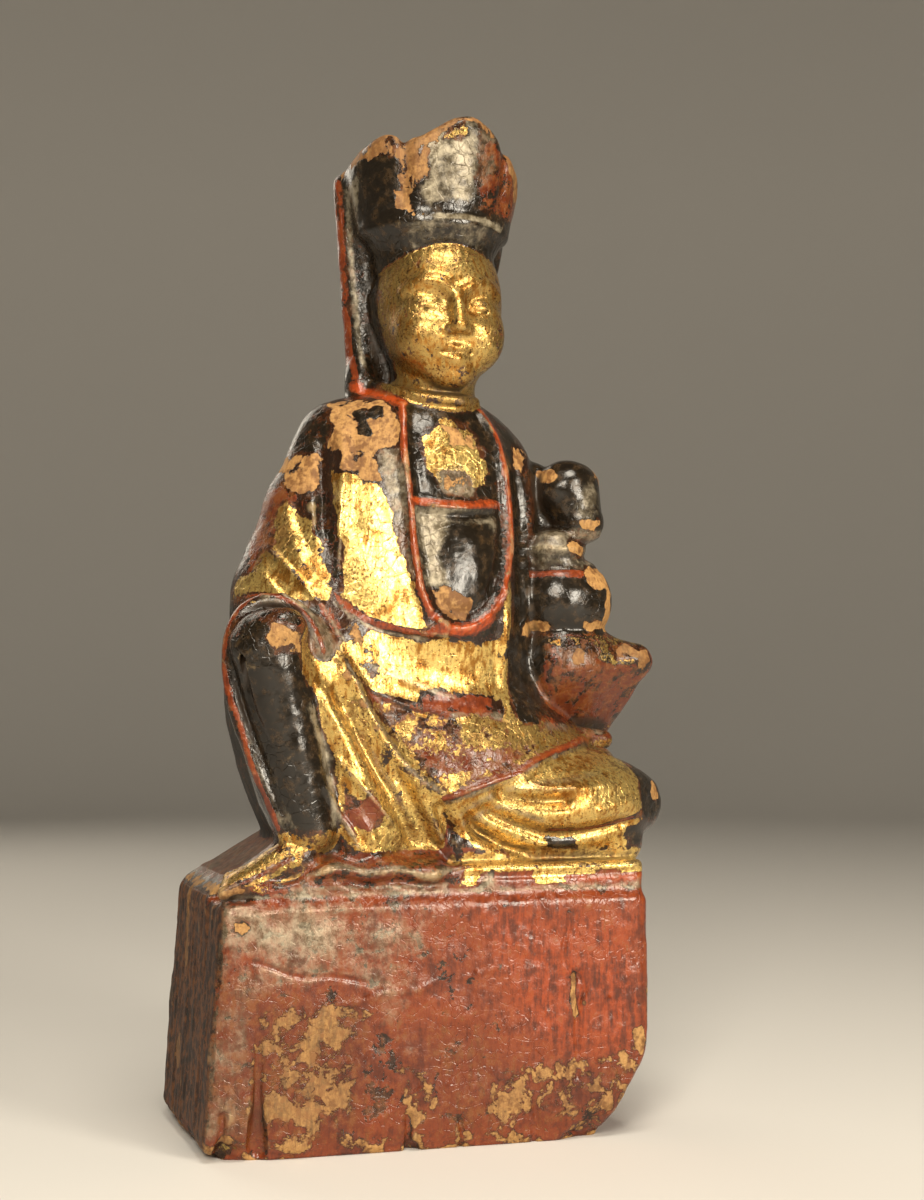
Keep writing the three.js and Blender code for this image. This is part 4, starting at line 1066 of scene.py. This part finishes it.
def paint_child(c):
    z = c.p[2]
    on_child = c.on(child, 1.6) * step(104, 110, z)
    c.coat("black", 0.9, on_child * step(177, 179, z))
    c.coat("grey", 0.42, on_child * step(179, 177, z) * step(163, 166, z), over="black")
    # Grey on the child's head and jacket is a painted highlight.
    c.dab("grey", 0.42, [55, 186], [5, 6], 0.6, over="black")
    c.dab("grey", 0.5, [48, 157], [5, 6], 0.6, over="black")
    c.coat("black", 0.95, on_child * step(165, 163, z) * step(145, 147, z))
    c.coat("red", 0.8, on_child * step(1.6, 0.8, np.abs(z - 164)))
    for place, size in (
        ([43.5, 194.5], [2.4, 3.4]), ([60.5, 195], [1.8, 3]), ([55, 180], [3, 2]), ([51, 172], [3, 3]),
        ([57, 163], [4, 3.5]), ([61.5, 153], [2, 7]), ([56, 149], [4, 2]), ([38, 147.5], [4, 3]),
    ):
        c.dab("tan", 0.9, place, size)
    skirt = on_child * step(147, 145, z)
    c.coat("red", 0.58, skirt)
    c.brown_and_shade(0.8, skirt)
    c.dab("gold", 0.6, [60, 116.5], [5, 3.5], over="red")
    top = skirt * outline([
        [38, 148], [60, 149], [76, 143], [72, 136], [62, 136], [50, 139], [41, 141],
    ], 1.5)(c.p)
    c.lay("black", 0.55, top, over="red")
    c.lay("gold", 0.42, top, over="red black")
    for place, size in (([49.5, 138.5], [2.6, 3.4]), ([66, 140], [4, 2]), ([72, 138], [2, 4])):
        c.dab("tan", 0.75, place, size)
    c.coat("gold", 0.45, on_child * step(121, 118, z), over="red")
    c.stripe("grey", 0.4, [[38, 118.5], [50, 117.5], [60, 117]], 1.5, over="red gold")
    c.patch("black", 0.8, [[26, 146], [40, 145], [36, 118], [28, 122]])


def paint(piece):
    c = Canvas(piece)
    c.coat("black", 0.5, np.ones_like(c.p[0]))
    c.coat("red", 0.5, np.ones_like(c.p[0]), over="black")
    paint_robes(c)
    paint_legs(c)
    paint_hem(c)
    paint_block(c)
    paint_head(c)
    paint_child(c)
    for name, layer in c.layers.items():
        c.store(name, layer)
    c.store("stain_and_shade", c.stain_and_shade)
    c.store("edge", c.convexity(1.5))
    c.store("groove", 1 - c.openness(3.5))


paint(figure_piece)


# The look of the wood, lacquer and gold


class Shader:
    """Adds shader nodes to a material and links them by socket or number."""

    def __init__(self, name):
        self.material = bpy.data.materials.new(name)
        self.material.use_nodes = True
        self.tree = self.material.node_tree
        self.tree.nodes.clear()
        self.place = self.make("ShaderNodeTexCoord", output="Object")

    def make(self, kind, inputs=(), output=0, **settings):
        node = self.tree.nodes.new(kind)
        for name, value in settings.items():
            setattr(node, name, value)
        for key, value in dict(inputs).items():
            if isinstance(value, bpy.types.NodeSocket):
                self.tree.links.new(value, node.inputs[key])
            else:
                node.inputs[key].default_value = value
        return node.outputs[output] if node.outputs else None

    def math(self, operation, *values):
        return self.make("ShaderNodeMath", enumerate(values), operation=operation)

    def chain(self, operation, values):
        return reduce(lambda total, value: self.math(operation, total, value), values)

    def add(self, *values):
        return self.chain("ADD", values)

    def times(self, *values):
        return self.chain("MULTIPLY", values)

    def most(self, *values):
        return self.chain("MAXIMUM", values)

    def rest(self, value):
        """What is left of 1."""
        return self.math("SUBTRACT", 1.0, value)

    def ramp(self, value, low, high, start=0.0, end=1.0):
        inputs = {0: value, 1: low, 2: high, 3: start, 4: end}
        return self.make("ShaderNodeMapRange", inputs, interpolation_type="SMOOTHSTEP")

    def about(self, noise, strength):
        """The noise as a swing to either side of 0."""
        return self.times(self.math("SUBTRACT", noise, 0.5), strength)

    def noise(self, size, detail, roughness, stretch=(1, 1, 1), shift=0.0, distortion=0.0):
        """Noise whose largest lumps are about size millimetres across."""
        scale = [1 / (size * MM * s) for s in stretch]
        spot_at = self.make("ShaderNodeVectorMath", {0: self.place, 1: scale, 2: (shift, shift, shift)},
                            operation="MULTIPLY_ADD")
        inputs = {"Vector": spot_at, "Scale": 1.0, "Detail": detail, "Roughness": roughness,
                  "Distortion": distortion}
        return self.make("ShaderNodeTexNoise", inputs)

    def crackle(self, size):
        """How far a point is from the nearest crack, in cells of about size millimetres."""
        inputs = {"Vector": self.place, "Scale": 0.5 / (size * MM), "Detail": 3.0}
        bent = self.make("ShaderNodeTexNoise", inputs, output=1)
        shifted = self.make("ShaderNodeVectorMath", {0: bent, 1: (size * MM,) * 3, 2: self.place},
                            operation="MULTIPLY_ADD")
        inputs = {"Vector": shifted, "Scale": 1 / (size * MM)}
        return self.make("ShaderNodeTexVoronoi", inputs, feature="DISTANCE_TO_EDGE")

    def mix(self, factor, a, b):
        return self.make("ShaderNodeMix", {0: factor, 6: a, 7: b}, output=2, data_type="RGBA")

    def blend(self, factor, a, b):
        return self.make("ShaderNodeMix", {0: factor, 2: a, 3: b}, data_type="FLOAT")

    def layer(self, name):
        return self.make("ShaderNodeAttribute", output="Fac", attribute_name=name)


def colour(red, green, blue):
    return (red, green, blue, 1.0)


TAN_DARK = colour(0.17, 0.070, 0.016)
TAN_LIGHT = colour(0.50, 0.27, 0.085)
RED_DARK = colour(0.085, 0.017, 0.006)
RED_LIGHT = colour(0.28, 0.052, 0.012)
ORANGE = colour(0.50, 0.070, 0.010)
BROWN_DARK = colour(0.018, 0.007, 0.003)
BROWN_LIGHT = colour(0.085, 0.028, 0.010)
BLACK_DARK = colour(0.010, 0.007, 0.004)
BLACK_LIGHT = colour(0.050, 0.028, 0.011)
GOLD_DARK = colour(0.34, 0.15, 0.026)
GOLD_LIGHT = colour(0.95, 0.68, 0.22)
# Grey paint, also used for painted sheen and highlights.
GREY_DARK = colour(0.17, 0.13, 0.075)
GREY_LIGHT = colour(0.52, 0.45, 0.32)
# Grime with painted shade for grooves, varnish brown also laid as painted shade, and wear with a painted
# highlight for ridges.
GRIME_AND_SHADE = colour(0.022, 0.011, 0.004)
STAIN_AND_SHADE = colour(0.15, 0.052, 0.012)
RUBBED_AND_HIGHLIT = colour(0.62, 0.45, 0.22)


def lacquered_wood():
    s = Shader("lacquered_wood")
    edge = s.layer("edge")
    groove = s.layer("groove")
    flakes = s.noise(5.5, 6.0, 0.62, distortion=0.4)
    specks = s.noise(1.1, 3.0, 0.6, shift=7.0)
    clouds = s.noise(17.0, 3.0, 0.55, shift=3.0)
    mottle = s.noise(2.8, 5.0, 0.65, shift=11.0)
    streaks = s.noise(1.3, 4.0, 0.6, stretch=(1, 1, 6), shift=5.0)
    pinholes = s.noise(0.7, 2.0, 0.5, shift=17.0)
    # On convex edges the gold wears off and gesso shows, and grey gathers there as a painted sheen.
    worn = s.times(edge, 1.6)

    def cover(name, big, small, bias=0.0, width=0.035):
        """How far a coat covers, and the amount from which this is judged."""
        amount = s.add(s.layer(name), s.about(flakes, big), s.about(specks, small), bias)
        return s.ramp(amount, 0.5 - width, 0.5 + width), amount

    def rim(amount):
        """The rim where a coat ends."""
        return s.ramp(s.math("ABSOLUTE", s.math("SUBTRACT", amount, 0.47)), 0.0, 0.13, 1.0, 0.0)

    black, black_amount = cover("black", 1.2, 0.5)
    gold, gold_amount = cover("gold", 1.2, 0.7, s.times(worn, -0.3), 0.05)
    red, _ = cover("red", 1.5, 0.4)
    # Grey on convex edges is a painted sheen.
    grey, _ = cover("grey", -0.9, 0.5, s.times(worn, 0.5), 0.32)
    tan, tan_amount = cover("tan", -1.9, 0.3, s.times(worn, 0.5))

    brown = s.mix(s.ramp(s.add(clouds, s.about(mottle, 0.5)), 0.4, 0.75), BROWN_DARK, BROWN_LIGHT)
    fresh = s.ramp(s.add(s.layer("red"), s.about(mottle, 0.3), s.about(streaks, 0.4)), 0.75, 1.1)
    depth = s.add(s.times(mottle, 0.35), s.times(clouds, 0.35), s.times(streaks, 0.3))
    deep = s.mix(s.ramp(depth, 0.38, 0.62), RED_DARK, RED_LIGHT)
    leaf = s.ramp(s.add(s.times(clouds, 0.5), s.times(mottle, 0.5), s.about(streaks, 0.6)), 0.36, 0.60)
    tone = s.mix(red, brown, s.mix(fresh, deep, ORANGE))
    tone = s.mix(black, tone, s.mix(s.ramp(mottle, 0.45, 0.75), BLACK_DARK, BLACK_LIGHT))
    tone = s.mix(gold, tone, s.mix(leaf, GOLD_DARK, GOLD_LIGHT))
    holes = s.times(gold, s.ramp(s.add(pinholes, s.about(flakes, 0.5)), 0.60, 0.68, 0.0, 0.85))
    tone = s.mix(holes, tone, BROWN_LIGHT)
    tone = s.mix(s.times(grey, 0.7), tone, s.mix(s.ramp(mottle, 0.35, 0.65), GREY_DARK, GREY_LIGHT))
    ground = s.add(s.times(streaks, 0.3), s.times(mottle, 0.7), s.about(specks, 0.3), s.about(clouds, 0.5))
    tone = s.mix(tan, tone, s.mix(s.ramp(ground, 0.36, 0.60), TAN_DARK, TAN_LIGHT))
    rims = s.most(rim(tan_amount), s.times(rim(gold_amount), 0.8), s.times(rim(black_amount), 0.4))
    tone = s.mix(s.times(rims, 0.5), tone, BROWN_DARK)
    # Old varnish browns the bare paint. Where the layer was laid as painted shade, this same brown is painted
    # shade.
    stain_and_shade = s.add(
        s.times(s.layer("stain_and_shade"), 0.6), s.about(clouds, 1.0), s.about(streaks, 1.3), s.about(mottle, 1.5),
    )
    bare = s.rest(s.times(black, s.rest(s.most(gold, tan))))
    tone = s.mix(s.times(s.ramp(stain_and_shade, 0.15, 0.75, 0.0, 0.8), bare), tone,
                 s.mix(s.ramp(mottle, 0.4, 0.6), BROWN_DARK, STAIN_AND_SHADE))
    # Convex ridges are lightened: wear, and a painted highlight along them.
    kept = s.rest(s.times(fresh, 0.7))
    rubbed_and_highlit = s.times(s.ramp(s.add(edge, s.about(mottle, 0.5)), 0.18, 0.45, 0.0, 0.36), kept)
    tone = s.mix(rubbed_and_highlit, tone, RUBBED_AND_HIGHLIT)
    # Grooves are darkened: grime, and painted shade deep in them.
    grime_and_shade = s.ramp(s.add(groove, s.about(mottle, 0.5)), 0.3, 0.9, 0.0, 0.85)
    tone = s.mix(grime_and_shade, tone, GRIME_AND_SHADE)

    free_of_tan_grime_and_shade = s.rest(s.most(tan, grime_and_shade))
    metal = s.times(s.most(s.times(gold, 0.8), s.times(grey, 0.3)), free_of_tan_grime_and_shade)
    rough = s.add(s.ramp(mottle, 0.3, 0.7, 0.13, 0.30), s.times(grey, 0.14))
    rough = s.blend(gold, rough, s.ramp(specks, 0.35, 0.7, 0.22, 0.38))
    rough = s.blend(tan, rough, 0.65)
    rough = s.blend(s.ramp(s.layer("stain_and_shade"), 0.85, 1.0), rough, 0.75)
    rough = s.blend(grime_and_shade, rough, 0.55)

    lumps = s.times(s.noise(6.0, 2.0, 0.5, shift=2.0), 0.4)
    smooth = s.rest(s.times(black, 0.55))
    wrinkles = s.times(s.noise(1.6, 4.0, 0.6, stretch=(1, 1, 1.5), shift=9.0, distortion=1.0), 0.14, smooth)
    grit = s.times(s.noise(0.5, 2.0, 0.6, shift=4.0), 0.03)
    cracks = s.times(s.ramp(s.crackle(3.2), 0.0, 0.06, -1.0, 0.0), s.ramp(clouds, 0.4, 0.65, 0.0, 0.08))
    coats = s.add(s.times(gold, 0.05), s.times(black, 0.06), s.times(red, 0.05))
    whole = s.times(s.rest(tan), s.add(0.22, coats))
    height = s.add(lumps, wrinkles, grit, cracks, whole, s.times(tan, s.times(streaks, 0.2)))
    normal = s.make("ShaderNodeBump", {"Strength": 1.0, "Distance": MM, "Height": height})
    shader = s.make("ShaderNodeBsdfPrincipled", {
        "Base Color": tone, "Metallic": metal, "Roughness": rough, "Normal": normal,
        "Specular IOR Level": 0.5,
    })
    s.make("ShaderNodeOutputMaterial", {"Surface": shader})
    return s.material


figure_piece.data.materials.append(lacquered_wood())


# The stage: floor, light and camera
FLOOR_RADIUS = 1.6
SWEEP = 0.9
WALL_HEIGHT = 3.0
SWEEP_SIDES = 96
SWEEP_RINGS = 12
FLOOR_COLOUR = (0.72, 0.70, 0.67, 1)
FLOOR_ROUGHNESS = 0.8
LIGHT_COLOUR = (1, 0.91, 0.76)
ROOM_COLOUR = (1, 0.97, 0.93, 1)
ROOM_STRENGTH = 0.035


def add_floor():
    """A round floor that sweeps up to a wall all round, far outside the lights."""
    bend = [(FLOOR_RADIUS + SWEEP * math.sin(t), SWEEP * (1 - math.cos(t)))
            for t in np.linspace(0, math.pi / 2, SWEEP_RINGS + 1)[1:]]
    rings = [(FLOOR_RADIUS, 0.0)] + bend + [(FLOOR_RADIUS + SWEEP, WALL_HEIGHT)]
    turns = [2 * math.pi * n / SWEEP_SIDES for n in range(SWEEP_SIDES)]
    points = [(r * math.cos(t), r * math.sin(t), z) for r, z in rings for t in turns]
    faces = [
        (k + n, k + SWEEP_SIDES + n, k + SWEEP_SIDES + (n + 1) % SWEEP_SIDES, k + (n + 1) % SWEEP_SIDES)
        for k in range(0, len(points) - SWEEP_SIDES, SWEEP_SIDES) for n in range(SWEEP_SIDES)
    ]
    mesh = bpy.data.meshes.new("sweep")
    mesh.from_pydata(points, [], faces + [tuple(range(SWEEP_SIDES))])
    mesh.shade_smooth()
    floor = bpy.data.objects.new("sweep", mesh)
    bpy.context.collection.objects.link(floor)
    material = bpy.data.materials.new("pale_floor")
    material.use_nodes = True
    shader = material.node_tree.nodes["Principled BSDF"]
    shader.inputs["Base Color"].default_value = FLOOR_COLOUR
    shader.inputs["Roughness"].default_value = FLOOR_ROUGHNESS
    floor.data.materials.append(material)


def add_light(name, place, target, size, power, tall=None):
    light = bpy.data.lights.new(name, "AREA")
    light.shape = "RECTANGLE"
    light.size = size
    light.size_y = tall or size
    light.energy = power
    light.color = LIGHT_COLOUR
    holder = bpy.data.objects.new(name, light)
    aim = Vector(target) - Vector(place)
    holder.location = place
    holder.rotation_euler = aim.to_track_quat("-Z", "Y").to_euler()
    bpy.context.collection.objects.link(holder)


def add_lights():
    add_light("left_softbox", (-0.38, -0.88, 0.58), (0, 0, 0.16), 0.26, 8, 0.4)
    add_light("top_softbox", (0.0, -0.35, 1.0), (0, 0, 0.15), 0.35, 6)
    add_light("front_softbox", (0.40, -0.92, 0.34), (0, 0, 0.15), 0.24, 7.4, 0.34)
    add_light("back_softbox", (-0.35, 1.05, 0.75), (0, 0, 0.14), 0.6, 3)
    world = bpy.data.worlds.new("studio")
    world.use_nodes = True
    background = world.node_tree.nodes["Background"]
    background.inputs["Color"].default_value = ROOM_COLOUR
    background.inputs["Strength"].default_value = ROOM_STRENGTH
    bpy.context.scene.world = world


# The photograph's view: from the front and a little from the left, a little below the middle, looking up
VIEW_LEFT = math.radians(17.4)
VIEW_UP = math.radians(2.86)
VIEW_DISTANCE = 602.9
VIEW_AIM_Z = 126.1
VIEW_SHIFT = -18.8
LENS = 60
SENSOR_WIDTH = 36
NEAREST_SEEN = 0.01


def add_camera():
    level = Vector((math.sin(VIEW_LEFT), math.cos(VIEW_LEFT), 0))
    right = Vector((math.cos(VIEW_LEFT), -math.sin(VIEW_LEFT), 0))
    forward = level * math.cos(VIEW_UP) + Vector((0, 0, math.sin(VIEW_UP)))
    up = right.cross(forward)
    data = bpy.data.cameras.new("camera")
    data.lens = LENS
    data.sensor_width = SENSOR_WIDTH
    data.clip_start = NEAREST_SEEN
    camera = bpy.data.objects.new("camera", data)
    bpy.context.collection.objects.link(camera)
    place = (-VIEW_DISTANCE * level - VIEW_SHIFT * right + Vector((0, 0, VIEW_AIM_Z))) * MM
    turn = Matrix((right, up, -forward)).transposed().to_4x4()
    camera.matrix_world = Matrix.Translation(place) @ turn
    bpy.context.scene.camera = camera


add_floor()
add_lights()
add_camera()
bpy.context.scene.view_settings.view_transform = "Standard"
